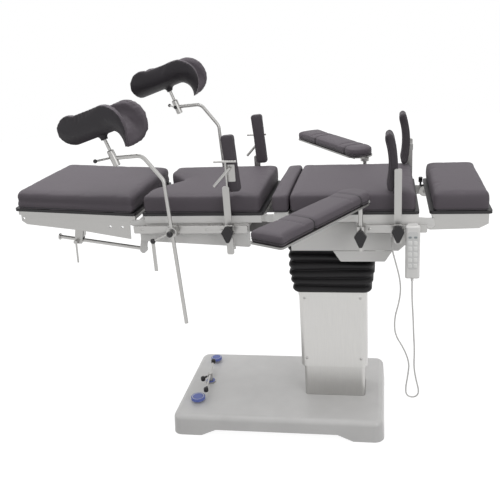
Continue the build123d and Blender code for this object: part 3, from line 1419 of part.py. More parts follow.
def make_wing_knobs(places):
    """Black hand knobs on threaded stems: a round hub with a rounded wing that hangs below it."""
    with BuildPart() as knobs:
        for x, side, z, reach in places:
            hub = side_plane(side * (reach + KNOB_STEM), x, z)
            with BuildSketch(side_plane(side * reach, x, z)):
                Circle(KNOB_STEM_RADIUS)
            extrude(amount=-side * KNOB_STEM)
            with BuildSketch(hub):
                with BuildLine():
                    l1 = Line((-KNOB_WIDTH / 2, KNOB_WAIST), (-KNOB_CROWN / 2, KNOB_TOP))
                    l2 = ThreePointArc(l1 @ 1, (0, KNOB_TOP + KNOB_ARCH), (KNOB_CROWN / 2, KNOB_TOP))
                    l3 = Line(l2 @ 1, (KNOB_WIDTH / 2, KNOB_WAIST))
                    l4 = Line(l3 @ 1, (KNOB_TIP / 2, -KNOB_DROP))
                    l5 = ThreePointArc(l4 @ 1, (0, -KNOB_DROP - KNOB_TIP_ARCH), (-KNOB_TIP / 2, -KNOB_DROP))
                    Line(l5 @ 1, l1 @ 0)
                make_face()
            extrude(amount=-side * KNOB_DEPTH)
    return knobs.part


def leg_holder_shift(side):
    """How far the leg holder of one side is moved along the rail and raised in its clamp."""
    if side < 0:
        return 0.0, 0.0
    return LEG_HOLDER_FAR_SHIFT, LEG_HOLDER_FAR_RISE


def make_leg_swivel(side):
    """Swivel head of a leg-holder clamp: a disc on a pin in the jaw, bored for the bent rod."""
    shift, rise = leg_holder_shift(side)
    x = LEG_CLAMP_X + shift
    rod_axis = leg_rod_axis(side)
    with BuildPart() as leg_swivel:
        with BuildSketch(side_plane(side * (jaw_front + RUNNING_GAP), x, rail_mid_z)):
            Circle(SWIVEL_RADIUS)
        extrude(amount=-side * SWIVEL_DEPTH)
        fillet(leg_swivel.edges().filter_by(GeomType.CIRCLE), SWIVEL_EDGE)
        with BuildSketch(side_plane(side * (jaw_front + 2 * RUNNING_GAP), x, rail_mid_z)):
            Circle(SWIVEL_PIN_RADIUS)
        extrude(amount=side * (jaw_front - rail_front))
        front = jaw_front + RUNNING_GAP + SWIVEL_DEPTH
        with BuildSketch(side_plane(side * (front - 1), x, rail_mid_z)):
            Circle(LEVER_RADIUS)
        extrude(amount=-side * (SWIVEL_BALL_REACH - SWIVEL_BALL_RADIUS))
        with Locations((x, side * (front + SWIVEL_BALL_REACH - SWIVEL_BALL_RADIUS), rail_mid_z)):
            Sphere(SWIVEL_BALL_RADIUS)
        lever_y = side * LEG_ROD_Y
        bar = Plane(origin=(x, lever_y, rail_mid_z), x_dir=(0, 1, 0), z_dir=(-LEVER_RUN, 0, -LEVER_DROP))
        with BuildSketch(bar):
            Circle(LEVER_RADIUS)
        extrude(amount=sqrt(LEVER_RUN**2 + LEVER_DROP**2))
        with Locations((x - LEVER_RUN, lever_y, rail_mid_z - LEVER_DROP)):
            Sphere(LEVER_BALL_RADIUS)
        with BuildSketch(top_plane(rail_mid_z - LEVER_DROP, x - LEVER_RUN, lever_y)):
            Rectangle(BLADE_WIDTH, BLADE_THICKNESS)
        extrude(amount=-BLADE_LENGTH)
        with BuildSketch(rod_axis.offset(-SWIVEL_RADIUS * 2)):
            Circle(LEG_ROD_RADIUS + PIN_CLEARANCE)
        extrude(amount=4 * SWIVEL_RADIUS, mode=Mode.SUBTRACT)
    return leg_swivel.part


def leg_rod_axis(side):
    """Plane at the clamp, square to the lower run of the bent rod."""
    shift, rise = leg_holder_shift(side)
    run = LEG_ROD_POINTS[1][0] - LEG_ROD_POINTS[0][0]
    height = LEG_ROD_POINTS[1][1] - LEG_ROD_POINTS[0][1]
    return Plane(
        origin=(LEG_CLAMP_X + shift, side * LEG_ROD_Y, rail_mid_z),
        x_dir=(0, 1, 0),
        z_dir=(run, 0, height),
    )


def leg_rod_path(side):
    """Points of the bent rod, shifted so that its lower run passes through the clamp's bore."""
    shift, rise = leg_holder_shift(side)
    (x0, z0), (x1, z1) = LEG_ROD_POINTS[:2]
    at_clamp = x0 + (x1 - x0) * (rail_mid_z - rise - z0) / (z1 - z0)
    move = LEG_CLAMP_X - at_clamp + shift
    return [(x + move, z + rise) for x, z in LEG_ROD_POINTS]


def make_leg_rod(side):
    """Bent rod of a leg holder: a straight run in the clamp, two bends and a level end."""
    points = leg_rod_path(side)
    plane = side_plane(side * LEG_ROD_Y)
    start = Plane(
        origin=(points[0][0], side * LEG_ROD_Y, points[0][1]),
        x_dir=(0, 1, 0),
        z_dir=(points[1][0] - points[0][0], 0, points[1][1] - points[0][1]),
    )
    with BuildPart() as leg_rod:
        with BuildLine(plane):
            FilletPolyline(*points, radius=LEG_ROD_BEND)
        with BuildSketch(start):
            Circle(LEG_ROD_RADIUS)
        sweep()
    return leg_rod.part


def pad_joint(side):
    """Centre of the clamp at the upper end of a leg holder's rod."""
    points = leg_rod_path(side)
    x, z = points[-1]
    return x, z


def stem_plane(side):
    """Plane at the upper clamp, square to the stem that carries the leg pad."""
    x, z = pad_joint(side)
    return Plane(
        origin=(x - PAD_CLAMP_OFFSET, side * LEG_ROD_Y, z),
        x_dir=(0, 1, 0),
        z_dir=(-sin(radians(STEM_TILT)), 0, cos(radians(STEM_TILT))),
    )


def make_pad_stem(side):
    """Upper clamp of a leg holder: a split barrel on the rod, a stem and a T-bar with two balls."""
    plane = stem_plane(side)
    x, z = pad_joint(side)
    end = leg_rod_path(side)
    slope = atan2(end[-1][1] - end[-2][1], end[-1][0] - end[-2][0])
    rod_end = Plane(
        origin=(x, side * LEG_ROD_Y, z),
        x_dir=(0, 1, 0),
        z_dir=(cos(slope), 0, sin(slope)),
    )
    tee = Plane(
        origin=(x - PAD_CLAMP_OFFSET - BARREL_RADIUS - TEE_RADIUS / 2, side * LEG_ROD_Y, z),
        x_dir=(0, 0, 1),
        z_dir=(-TEE_ALONG, side * TEE_ACROSS, 0),
    )
    with BuildPart() as pad_stem:
        with BuildSketch(plane.offset(-BARREL_LENGTH / 2)):
            Circle(BARREL_RADIUS)
        extrude(amount=BARREL_LENGTH)
        chamfer(pad_stem.edges().filter_by(GeomType.CIRCLE), BARREL_RADIUS / 5)
        with BuildSketch(plane.offset(BARREL_LENGTH / 2 - 1)):
            Circle(STEM_RADIUS)
        extrude(amount=STEM_LENGTH - STEM_SEAT - BARREL_LENGTH / 2)
        with BuildSketch(rod_end.offset(-BARREL_LENGTH)):
            Circle(LEG_ROD_RADIUS + PIN_CLEARANCE)
        extrude(amount=BARREL_LENGTH + RUNNING_GAP, mode=Mode.SUBTRACT)
        with BuildSketch(tee.offset(-TEE_LENGTH / 4)):
            Circle(TEE_RADIUS)
        extrude(amount=TEE_LENGTH)
        for reach in (-TEE_LENGTH / 4, TEE_LENGTH * 3 / 4):
            with Locations(tee.offset(reach).location):
                Sphere(TEE_BALL_RADIUS)
    return pad_stem.part


def gutter_section(plane):
    """Cross-section of the gutter pad: a half round with upright walls and rounded rims."""
    with BuildSketch(plane) as section:
        with BuildLine():
            Polyline((-GUTTER_RADIUS, GUTTER_WALL), (-GUTTER_RADIUS, GUTTER_RADIUS))
            ThreePointArc((-GUTTER_RADIUS, GUTTER_RADIUS), (0, 0), (GUTTER_RADIUS, GUTTER_RADIUS))
            Polyline(
                (GUTTER_RADIUS, GUTTER_RADIUS),
                (GUTTER_RADIUS, GUTTER_WALL),
                (gutter_inner, GUTTER_WALL),
                (gutter_inner, GUTTER_RADIUS),
            )
            ThreePointArc(
                (gutter_inner, GUTTER_RADIUS),
                (0, GUTTER_THICKNESS),
                (-gutter_inner, GUTTER_RADIUS),
            )
            Polyline(
                (-gutter_inner, GUTTER_RADIUS),
                (-gutter_inner, GUTTER_WALL),
                (-GUTTER_RADIUS, GUTTER_WALL),
            )
        make_face()
    return section.sketch


def gutter_frame(side):
    """Local frame of a leg pad: origin on its boss, local x towards the head, local y across."""
    plane = stem_plane(side)
    origin = plane.origin + plane.z_dir * STEM_LENGTH
    turn = radians(GUTTER_TURN[side])
    return Plane(origin=origin, x_dir=(cos(turn), sin(turn), 0), z_dir=(0, 0, 1))


def make_leg_pad(side):
    """Knee gutter: a straight trough that rolls over into a saddle, trimmed to a rounded outline."""
    frame = gutter_frame(side)
    slope = radians(GUTTER_SLOPE)
    joint = Vector(GUTTER_JOINT[0], 0, GUTTER_JOINT[1])
    centre = joint + Vector(sin(slope), 0, -cos(slope)) * GUTTER_ROLL
    local_joint = Plane(
        origin=frame.from_local_coords(joint),
        x_dir=frame.y_dir,
        z_dir=frame.x_dir * cos(slope) + frame.z_dir * sin(slope),
    )
    roll_axis = Axis(frame.from_local_coords(centre), frame.y_dir)
    outline_plane = Plane(origin=frame.origin, x_dir=frame.x_dir, z_dir=-frame.y_dir)
    plane = stem_plane(side)
    tip, bulge, top, shoulder, end, heel = GUTTER_OUTLINE
    with BuildPart() as leg_pad:
        extrude(gutter_section(local_joint), amount=-GUTTER_LENGTH)
        revolve(gutter_section(local_joint), axis=roll_axis, revolution_arc=GUTTER_ROLL_ARC)
        with BuildSketch(outline_plane):
            with BuildLine():
                ThreePointArc(tip, bulge, top)
                Line(top, shoulder)
                ThreePointArc(shoulder, end, heel)
                Polyline(heel, (heel[0] * 0.8, -GUTTER_RADIUS), (tip[0], -GUTTER_RADIUS), tip)
            make_face()
        extrude(amount=2 * GUTTER_RADIUS, both=True, mode=Mode.INTERSECT)
        with BuildSketch(plane.offset(STEM_LENGTH - BOSS_LENGTH)):
            Circle(BOSS_RADIUS)
        extrude(amount=BOSS_LENGTH + GUTTER_THICKNESS / 3)
        with BuildSketch(plane.offset(STEM_LENGTH - BOSS_LENGTH - 1)):
            Circle(STEM_RADIUS + PIN_CLEARANCE)
        extrude(amount=BOSS_LENGTH + 1 - RUNNING_GAP, mode=Mode.SUBTRACT)
    return leg_pad.part


def make_hip_post(side):
    """Hip support post: a flat bar in the clamp, a swing arm, a cross rod and a steel back plate."""
    shift = HIP_FAR_SHIFT if side > 0 else 0.0
    low, high = HIP_POST_SPAN
    rise = HIP_FAR_DROP if side > 0 else 0.0
    top = high - rise
    plate_y = HIP_PAD_Y + HIP_PAD_DEPTH / 2
    with BuildPart() as hip_post:
        with BuildSketch(top_plane(low, HIP_X + shift, side * post_y)):
            Rectangle(POST_WIDTH, POST_THICKNESS)
        extrude(amount=top - low)
        fillet(hip_post.edges().filter_by(Axis.Y), POST_WIDTH / 4)
        plate_back = side_plane(side * (plate_y + HIP_PLATE), HIP_PAD_X + shift, HIP_PLATE_Z - rise)
        with BuildSketch(plate_back) as plate:
            Rectangle(HIP_PLATE_WIDTH, HIP_PLATE_HEIGHT)
            fillet(plate.vertices(), HIP_PLATE)
        extrude(amount=side * HIP_PLATE)
        arm = Plane(
            origin=(HIP_X + shift - HIP_ARM_RUN * 0.67, side * post_y, top),
            x_dir=(0, 1, 0),
            z_dir=(HIP_ARM_RUN, 0, HIP_ARM_RISE),
        )
        with BuildSketch(arm):
            Circle(HIP_ARM_RADIUS)
        extrude(amount=sqrt(HIP_ARM_RUN**2 + HIP_ARM_RISE**2))
        cross_z = HIP_CROSS_Z - rise
        with BuildSketch(end_plane(HIP_X + shift - HIP_CROSS * 0.45, side * post_y, cross_z)):
            Circle(HIP_CROSS_RADIUS)
        extrude(amount=HIP_CROSS)
        with BuildSketch(top_plane(top - HIP_ARM_RADIUS, HIP_X + shift + HIP_ARM_RADIUS, side * post_y)):
            Circle(HIP_CROSS_RADIUS)
        extrude(amount=cross_z - top + HIP_ARM_RADIUS)
        with BuildSketch(side_plane(side * post_y, HIP_X + shift + HIP_ARM_RADIUS, HIP_PLATE_Z - rise)):
            Rectangle(HIP_ARM_RADIUS * 2, HIP_ARM_RADIUS * 2)
        extrude(amount=side * (post_y - plate_y - HIP_PLATE / 2))
    return hip_post.part


def make_hip_pad(side):
    """Upright side support: a firm pad with rounded edges that leans a little to the leg end."""
    rise = HIP_FAR_DROP if side > 0 else 0.0
    shift = HIP_FAR_SHIFT if side > 0 else 0.0
    lean = radians(HIP_LEAN)
    plane = Plane(
        origin=(HIP_PAD_X + shift, side * HIP_PAD_Y, HIP_PAD_Z - rise),
        x_dir=(cos(lean), 0, sin(lean)),
        z_dir=(0, -1, 0),
    )
    with BuildPart() as hip_pad:
        with BuildSketch(plane):
            RectangleRounded(HIP_PAD_WIDTH, HIP_PAD_HEIGHT, HIP_PAD_CORNER)
        extrude(amount=HIP_PAD_DEPTH / 2, both=True)
        fillet(hip_pad.faces().filter_by(Axis.Y).edges(), HIP_PAD_EDGE)
    return hip_pad.part


def shoulder_place(side):
    """Place of a shoulder support: how far along the table and how far it is moved up."""
    if side < 0:
        return SHOULDER_X, 0.0
    return SHOULDER_X + SHOULDER_FAR_SHIFT, SHOULDER_FAR_DROP


def make_shoulder_post(side):
    """Shoulder support post: a flat bar in the clamp with an inward bracket behind its pad."""
    x, drop = shoulder_place(side)
    low, high = SHOULDER_POST_SPAN
    with BuildPart() as shoulder_post:
        with BuildSketch(top_plane(low - drop, x, side * post_y)):
            Rectangle(POST_WIDTH, POST_THICKNESS)
        extrude(amount=high - low)
        fillet(shoulder_post.edges().filter_by(Axis.Y), POST_WIDTH / 4)
        inner = SHOULDER_PAD_Y
        with BuildSketch(side_plane(side * (post_y + POST_THICKNESS / 2), x, high - drop)):
            with Locations((SHOULDER_BRACKET_SHIFT, -POST_WIDTH)):
                RectangleRounded(SHOULDER_BRACKET, POST_WIDTH, POST_THICKNESS / 3)
        extrude(amount=side * (post_y - inner))
    return shoulder_post.part


def make_shoulder_pad(side):
    """Curved shoulder pad: a bent cushion whose upper end leans away from the head."""
    x, drop = shoulder_place(side)
    points = [(x + dx, z - drop) for dx, z in SHOULDER_PAD_CURVE]
    with BuildPart() as shoulder_pad:
        with BuildSketch(side_plane(side * SHOULDER_PAD_Y)):
            with BuildLine() as spine:
                ThreePointArc(*points)
            SlotArc(spine.edge(), SHOULDER_PAD_THICKNESS)
        extrude(amount=SHOULDER_PAD_WIDTH / 2, both=True)
        fillet(shoulder_pad.faces().filter_by(Axis.Y).edges(), SHOULDER_PAD_EDGE)
    return shoulder_pad.part


def arm_frame(side, z=0.0):
    """Level plane on the pivot of an arm board: local x points out along the board."""
    turn = radians(ARM_TURN[side])
    return Plane(
        origin=(ARM_X, side * ARM_POST_Y, z),
        x_dir=(cos(turn), sin(turn), 0),
        z_dir=(0, 0, 1),
    )


def arm_plan(inset):
    """Outline of an arm board: square outer end with rounded corners, half-round inner end."""
    half = ARM_WIDTH / 2 - inset
    start = ARM_INNER
    end = ARM_INNER + ARM_REACH - inset
    with BuildSketch() as plan:
        with Locations(((start + end) / 2, 0)):
            Rectangle(end - start, 2 * half)
        fillet(plan.vertices().sort_by(Axis.X)[-2:], ARM_CORNER)
        with Locations((start, 0)):
            Circle(half)
    return plan.sketch


def arm_bottom(side):
    """Height of the underside of an arm board's plate."""
    return ARM_TOP - ARM_PAD - ARM_PLATE + (ARM_FAR_RISE if side > 0 else 0.0)


def make_arm_post(side):
    """Round post of an arm board, with a collar that carries the board."""
    bottom = arm_bottom(side)
    with BuildPart() as arm_post:
        with BuildSketch(arm_frame(side, ARM_POST_LOW)):
            Circle(ARM_POST_RADIUS)
        extrude(amount=bottom - ARM_POST_LOW - RUNNING_GAP / 2)
        with BuildSketch(arm_frame(side, bottom - ARM_COLLAR - RUNNING_GAP / 2)):
            Circle(ARM_COLLAR_RADIUS)
        extrude(amount=ARM_COLLAR)
        with BuildSketch(arm_frame(side, bottom - RUNNING_GAP)):
            Circle(ARM_PIVOT_RADIUS)
        extrude(amount=ARM_PLATE + RUNNING_GAP)
    return arm_post.part


def make_arm_board(side):
    """Arm board plate: flat plate with a stiffening rib and a bright folded bracket at its inner end."""
    bottom = arm_bottom(side)
    with BuildPart() as arm_board:
        with BuildSketch(arm_frame(side, bottom)):
            add(arm_plan(ARM_PLATE_INSET))
        extrude(amount=ARM_PLATE)
        with BuildSketch(arm_frame(side, bottom)):
            with Locations((ARM_RIB_START + ARM_RIB / 2, 0)):
                Rectangle(ARM_RIB, ARM_WIDTH / 2)
        extrude(amount=-ARM_RIB_HEIGHT)
        with BuildSketch(arm_frame(side, bottom)):
            with Locations((ARM_RIB_START + ARM_RIB / 2, 0)):
                Rectangle(ARM_RIB + 1, ARM_WIDTH / 2 - 2 * ARM_RIB_WALL)
        extrude(amount=-ARM_RIB_HEIGHT, mode=Mode.SUBTRACT)
        with BuildSketch(arm_frame(side, bottom)):
            Circle(ARM_PIVOT_RADIUS + PIN_CLEARANCE)
        extrude(amount=ARM_PLATE, mode=Mode.SUBTRACT)
    return arm_board.part


def make_arm_cushion(side):
    """Arm cushion in three stitched lengths: two sewn channels cross its crowned top."""
    plane = arm_frame(side, arm_bottom(side) + ARM_PLATE)
    pad = make_cushion(plane, arm_plan(0), ARM_WIDTH / 2, ARM_PAD, ARM_CROWN, ARM_EDGE)
    across = Plane(plane.origin, x_dir=plane.x_dir, z_dir=-plane.y_dir)
    with BuildPart() as arm_cushion:
        add(pad)
        with BuildSketch(across):
            for place in ARM_CHANNELS:
                with Locations((ARM_INNER + place, ARM_PAD)):
                    Circle(ARM_CHANNEL_DEPTH)
        extrude(amount=ARM_WIDTH, both=True, mode=Mode.SUBTRACT)
    return arm_cushion.part


def make_handset():
    """Hand control: a slim rounded body on a hook over the rail, with a strain relief below."""
    middle_y = -(HANDSET_Y + HANDSET_DEPTH / 2)
    with BuildPart() as handset:
        with BuildSketch(top_plane(HANDSET_LOW, HANDSET_X, middle_y)):
            RectangleRounded(HANDSET_WIDTH, HANDSET_DEPTH, HANDSET_DEPTH / 3)
        extrude(amount=HANDSET_HIGH - HANDSET_LOW)
        fillet(handset.faces().filter_by(Axis.Z).edges(), HANDSET_EDGE)
        with BuildSketch(end_plane(HANDSET_X - HANDSET_HOOK / 2)) as hook:
            with BuildLine():
                Polyline(
                    (-HANDSET_Y - 1, HANDSET_HIGH - 2 * HANDSET_EDGE),
                    (-HANDSET_Y - 1, RAIL_TOP + HOOK_GAP + HOOK_SHEET),
                    (-rail_back + HOOK_GAP + HOOK_SHEET, RAIL_TOP + HOOK_GAP + HOOK_SHEET),
                    (-rail_back + HOOK_GAP + HOOK_SHEET, rail_mid_z),
                    (-rail_back + HOOK_GAP, rail_mid_z),
                    (-rail_back + HOOK_GAP, RAIL_TOP + HOOK_GAP),
                    (-HANDSET_Y + HOOK_GAP, RAIL_TOP + HOOK_GAP),
                    (-HANDSET_Y + HOOK_GAP, HANDSET_HIGH - 2 * HANDSET_EDGE),
                    close=True,
                )
            make_face()
        extrude(amount=HANDSET_HOOK)
        with BuildSketch(top_plane(HANDSET_LOW + 1, CORD_POINTS[0][0], CORD_POINTS[0][1])):
            Circle(CORD_RADIUS * 1.8)
        extrude(amount=CORD_POINTS[0][2] - HANDSET_LOW - 1)
    return handset.part


def make_cord():
    """Cord of the hand control: straight runs joined by tangent arcs, from the handset to the frame."""
    points = [Vector(*point) for point in CORD_POINTS]
    radii = []
    for before, corner, after in zip(points, points[1:], points[2:]):
        turn = (corner - before).get_angle(after - corner)
        run = min((corner - before).length, (after - corner).length)
        radii.append(0.45 * run / tan(radians(turn / 2)))
    first = points[1] - points[0]
    with BuildPart() as handset_cord:
        with BuildLine():
            FilletPolyline(*points, radius=radii)
        with BuildSketch(Plane(origin=points[0], z_dir=first)):
            Circle(CORD_RADIUS)
        sweep()
    print("cord radii", [round(radius) for radius in radii])
    return handset_cord.part


# Every piece, written once

level_top = top_plane(pad_bottom)
seat_cushion_plan = seat_plan(SEAT_PAD_START, SEAT_PAD_END, half_width, PAD_CORNER_RADIUS, 0.0)
seat_board_plan = seat_plan(
    SEAT_PAD_START - BOARD_REACH,
    SEAT_PAD_END + BOARD_END_REACH,
    half_width - BOARD_INSET,
    BOARD_CORNER,
    BOARD_REACH,
)
board_half = half_width - BOARD_INSET

save(make_base_cover(), "base_cover")
save(make_base_chassis(), "base_chassis")
save(make_base_feet(), "base_feet")
save(make_lower_column(), "lower_column")
save(make_pedal(LOCK_PEDAL_Y, LOCK_PEDAL_RADIUS), "lock_pedal")
save(make_pedal(UNLOCK_PEDAL_Y, UNLOCK_PEDAL_RADIUS), "unlock_pedal")
save(make_brake_lever(), "brake_lever")
save(make_column_cover(), "column_cover")
save(make_inner_mast(), "inner_mast")
save(make_bellows(), "bellows")
save(make_gimbal_cross(), "gimbal_cross")
save(make_saddle(), "saddle")
save(make_housing(), "housing")
save(make_undertray(), "undertray")
save(make_seat_frame(), "seat_frame")
save(
    make_rails(SEAT_RAIL_START, SEAT_PLATE_END, SEAT_SPACERS, frame_half - SEAT_PLATE_INSET), "seat_rails"
)
save(make_board(top_plane(board_bottom), seat_board_plan), "seat_board")
save(make_cushion(level_top, seat_cushion_plan, half_width), "seat_cushion")
save(make_leg_frame(), "leg_frame")
save(make_strut_clamp(), "strut_clamp")
save(make_strut_rod(), "strut_rod")
leg_board_plan = slab_plan(leg_tip_u - BOARD_REACH, leg_end_u, board_half, BOARD_CORNER)
save(make_board(leg_top(leg_board_w), leg_board_plan), "leg_board")
leg_cushion_plan = slab_plan(leg_tip_u, leg_end_u, half_width, PAD_CORNER_RADIUS)
save(make_cushion(leg_top(leg_pad_w), leg_cushion_plan, half_width), "leg_cushion")
save(make_kidney_carriage(), "kidney_carriage")
kidney_plan = slab_plan(KIDNEY_PAD_START, BACK_PAD_START - KIDNEY_SEAM, half_width, PAD_CORNER_RADIUS)
save(make_cushion(level_top, kidney_plan, half_width), "kidney_cushion")
save(make_back_frame(), "back_frame")
save(make_rails(BACK_RAIL_START, BACK_RAIL_END, BACK_SPACERS, frame_half), "back_rails")
back_board_plan = slab_plan(
    BACK_PAD_START - BOARD_END_REACH, BACK_PAD_END + BOARD_REACH, board_half, BOARD_CORNER
)
save(make_board(top_plane(board_bottom), back_board_plan), "back_board")
back_cushion_plan = slab_plan(BACK_PAD_START, BACK_PAD_END, half_width, PAD_CORNER_RADIUS)
save(make_cushion(level_top, back_cushion_plan, half_width), "back_cushion")
save(make_head_frame(), "head_frame")
head_board_plan = slab_plan(
    HEAD_PAD_START - BOARD_REACH, half_length + BOARD_REACH, board_half, BOARD_CORNER
)
save(make_board(top_plane(board_bottom), head_board_plan), "head_board")
head_cushion_plan = slab_plan(HEAD_PAD_START, half_length, half_width, PAD_CORNER_RADIUS)
save(make_cushion(level_top, head_cushion_plan, half_width), "head_cushion")
save(make_handset(), "handset")
save(make_cord(), "handset_cord")

seat_jaws = [(HIP_X, -1, "slot"), (HIP_X + HIP_FAR_SHIFT, 1, "slot")]
seat_jaws += [(LEG_CLAMP_X + leg_holder_shift(side)[0], side, "swivel") for name, side in SIDES]
save(make_jaws(seat_jaws, CLAMP_LENGTH), "seat_rail_clamps")
back_jaws = [(shoulder_place(side)[0], side, "slot") for name, side in SIDES]
back_jaws += [(ARM_X, side, "socket") for name, side in SIDES]
save(make_jaws(back_jaws, CLAMP_LENGTH), "back_rail_clamps")
seat_knobs = [(HIP_X, -1, HIP_KNOB_Z, jaw_front), (HIP_X + HIP_FAR_SHIFT, 1, HIP_KNOB_Z, jaw_front)]
save(make_wing_knobs(seat_knobs), "seat_clamp_knobs")
back_knobs = [(shoulder_place(side)[0], side, HIP_KNOB_Z, jaw_front) for name, side in SIDES]
back_knobs += [(ARM_X, side, ARM_KNOB_Z, ARM_POST_Y + SOCKET_RADIUS) for name, side in SIDES]
save(make_wing_knobs(back_knobs), "back_clamp_knobs")

for name, side in SIDES:
    save(make_leg_swivel(side), f"leg_swivel_{name}")
    save(make_leg_rod(side), f"leg_rod_{name}")
    save(make_pad_stem(side), f"leg_pad_stem_{name}")
    save(make_leg_pad(side), f"leg_pad_{name}")
    save(make_hip_post(side), f"hip_post_{name}")
    save(make_hip_pad(side), f"hip_pad_{name}")
    save(make_shoulder_post(side), f"shoulder_post_{name}")
    save(make_shoulder_pad(side), f"shoulder_pad_{name}")
    save(make_arm_post(side), f"arm_post_{name}")
    save(make_arm_board(side), f"arm_board_{name}")
    save(make_arm_cushion(side), f"arm_cushion_{name}")
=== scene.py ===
"""Operating table: looks, small trim, studio and camera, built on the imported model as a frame."""

from math import cos, pi, radians, sin

import bmesh
import bpy
import numpy as np
from mathutils import Matrix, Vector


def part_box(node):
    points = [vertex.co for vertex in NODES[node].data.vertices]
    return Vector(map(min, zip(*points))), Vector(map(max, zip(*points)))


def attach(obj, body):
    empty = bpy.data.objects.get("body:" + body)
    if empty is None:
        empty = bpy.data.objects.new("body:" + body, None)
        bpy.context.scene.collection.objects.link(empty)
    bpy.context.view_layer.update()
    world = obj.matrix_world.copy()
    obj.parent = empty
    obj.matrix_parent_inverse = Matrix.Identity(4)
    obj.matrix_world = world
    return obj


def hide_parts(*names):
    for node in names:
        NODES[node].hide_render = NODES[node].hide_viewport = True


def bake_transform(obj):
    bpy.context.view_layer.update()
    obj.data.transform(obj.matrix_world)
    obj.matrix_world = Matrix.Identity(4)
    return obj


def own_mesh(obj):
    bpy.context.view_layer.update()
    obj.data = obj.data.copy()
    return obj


bl_info = {
    "name": "Operating Table",
    "version": (1, 0, 0),
    "blender": (4, 5, 0),
    "location": "View3D > Sidebar > Operating Table",
    "description": "Upholstery, finishes, small trim and studio for an operating table",
    "category": "Object",
}

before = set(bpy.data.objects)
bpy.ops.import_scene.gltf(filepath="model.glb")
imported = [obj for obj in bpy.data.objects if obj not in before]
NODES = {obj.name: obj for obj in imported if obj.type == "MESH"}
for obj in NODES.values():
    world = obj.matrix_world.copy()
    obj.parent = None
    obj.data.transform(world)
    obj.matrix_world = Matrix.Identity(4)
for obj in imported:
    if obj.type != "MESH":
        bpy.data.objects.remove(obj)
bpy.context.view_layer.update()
SIDES = (("near", -1.0), ("far", 1.0))
LEG_TILT = radians(3.0)
UP = np.array((0.0, 0.0, 1.0))


def srgb(*values):
    """Linear colour from 0-255 display values."""
    share = np.array(values, float) / 255.0
    linear = np.where(share <= 0.04045, share / 12.92, ((share + 0.055) / 1.055) ** 2.4)
    return tuple(float(v) for v in linear)


# Properties that a user would change


class TableColours(bpy.types.PropertyGroup):
    """Colours of the table's finishes."""

    vinyl: bpy.props.FloatVectorProperty(
        name="Upholstery", description="Colour of the vinyl covers", subtype="COLOR",
        size=3, min=0.0, max=1.0, default=srgb(87, 81, 87))
    steel: bpy.props.FloatVectorProperty(
        name="Steel", description="Tint of the brushed stainless steel", subtype="COLOR",
        size=3, min=0.0, max=1.0, default=srgb(184, 183, 181))
    enamel: bpy.props.FloatVectorProperty(
        name="Enamel", description="Colour of the light painted sheet metal", subtype="COLOR",
        size=3, min=0.0, max=1.0, default=srgb(232, 231, 229))
    shell: bpy.props.FloatVectorProperty(
        name="Base shell", description="Colour of the moulded base cover", subtype="COLOR",
        size=3, min=0.0, max=1.0, default=srgb(211, 210, 209))
    black: bpy.props.FloatVectorProperty(
        name="Black plastic", description="Colour of knobs, bellows and grips", subtype="COLOR",
        size=3, min=0.0, max=1.0, default=srgb(21, 19, 22))
    blue: bpy.props.FloatVectorProperty(
        name="Pedal blue", description="Colour of the foot pedals' caps", subtype="COLOR",
        size=3, min=0.0, max=1.0, default=srgb(92, 106, 176))


class TableSizes(bpy.types.PropertyGroup):
    """Sizes of the soft forms and strength of the light."""

    cushion_pitch: bpy.props.FloatProperty(
        name="Cushion mesh", description="Spacing of the points of a large cushion",
        subtype="DISTANCE", unit="LENGTH", default=0.0075, min=0.004, max=0.02)
    pad_pitch: bpy.props.FloatProperty(
        name="Pad mesh", description="Spacing of the points of a small pad",
        subtype="DISTANCE", unit="LENGTH", default=0.006, min=0.003, max=0.02)
    swell: bpy.props.FloatProperty(
        name="Swell", description="Most that a cover may move as it fills",
        subtype="DISTANCE", unit="LENGTH", default=0.005, min=0.0, max=0.01)
    # the dark hem is a welt of painted shade: a near-black line in the crease at the foot of a
    # cushion
    hem: bpy.props.FloatProperty(
        name="Hem", description="Radius of the dark hem at the foot of a section's cushion",
        subtype="DISTANCE", unit="LENGTH", default=0.0021, min=0.0005, max=0.004)
    key_lamp: bpy.props.FloatProperty(
        name="Key lamp", description="Power of the large lamp overhead",
        subtype="POWER", unit="POWER", default=62.0, min=0.0)
    fill_lamp: bpy.props.FloatProperty(
        name="Fill lamp", description="Power of the lamp at the front",
        subtype="POWER", unit="POWER", default=26.0, min=0.0)
    world_level: bpy.props.FloatProperty(
        name="World level", description="Strength of the room's even light", default=0.66, min=0.0)


# Shader expressions


class Sock:
    """A shader socket; arithmetic on it adds Math nodes to its tree."""

    def __init__(self, tree, socket):
        self.tree = tree
        self.socket = socket

    def math(self, operation, *others, first=None):
        """A Math node of that operation on this value and the others, or with first ahead of it."""
        node = self.tree.nodes.new("ShaderNodeMath")
        node.operation = operation
        for index, value in enumerate(([] if first is None else [first]) + [self] + list(others)):
            if isinstance(value, Sock):
                self.tree.links.new(value.socket, node.inputs[index])
            else:
                node.inputs[index].default_value = float(value)
        return Sock(self.tree, node.outputs[0])

    def __add__(self, other):
        return self.math("ADD", other)

    __radd__ = __add__

    def __mul__(self, other):
        return self.math("MULTIPLY", other)

    __rmul__ = __mul__

    def __sub__(self, other):
        return self.math("SUBTRACT", other)

    def __rsub__(self, other):
        return self.math("SUBTRACT", first=other)

    def __lt__(self, other):
        return self.math("LESS_THAN", other)

    def __gt__(self, other):
        return self.math("GREATER_THAN", other)


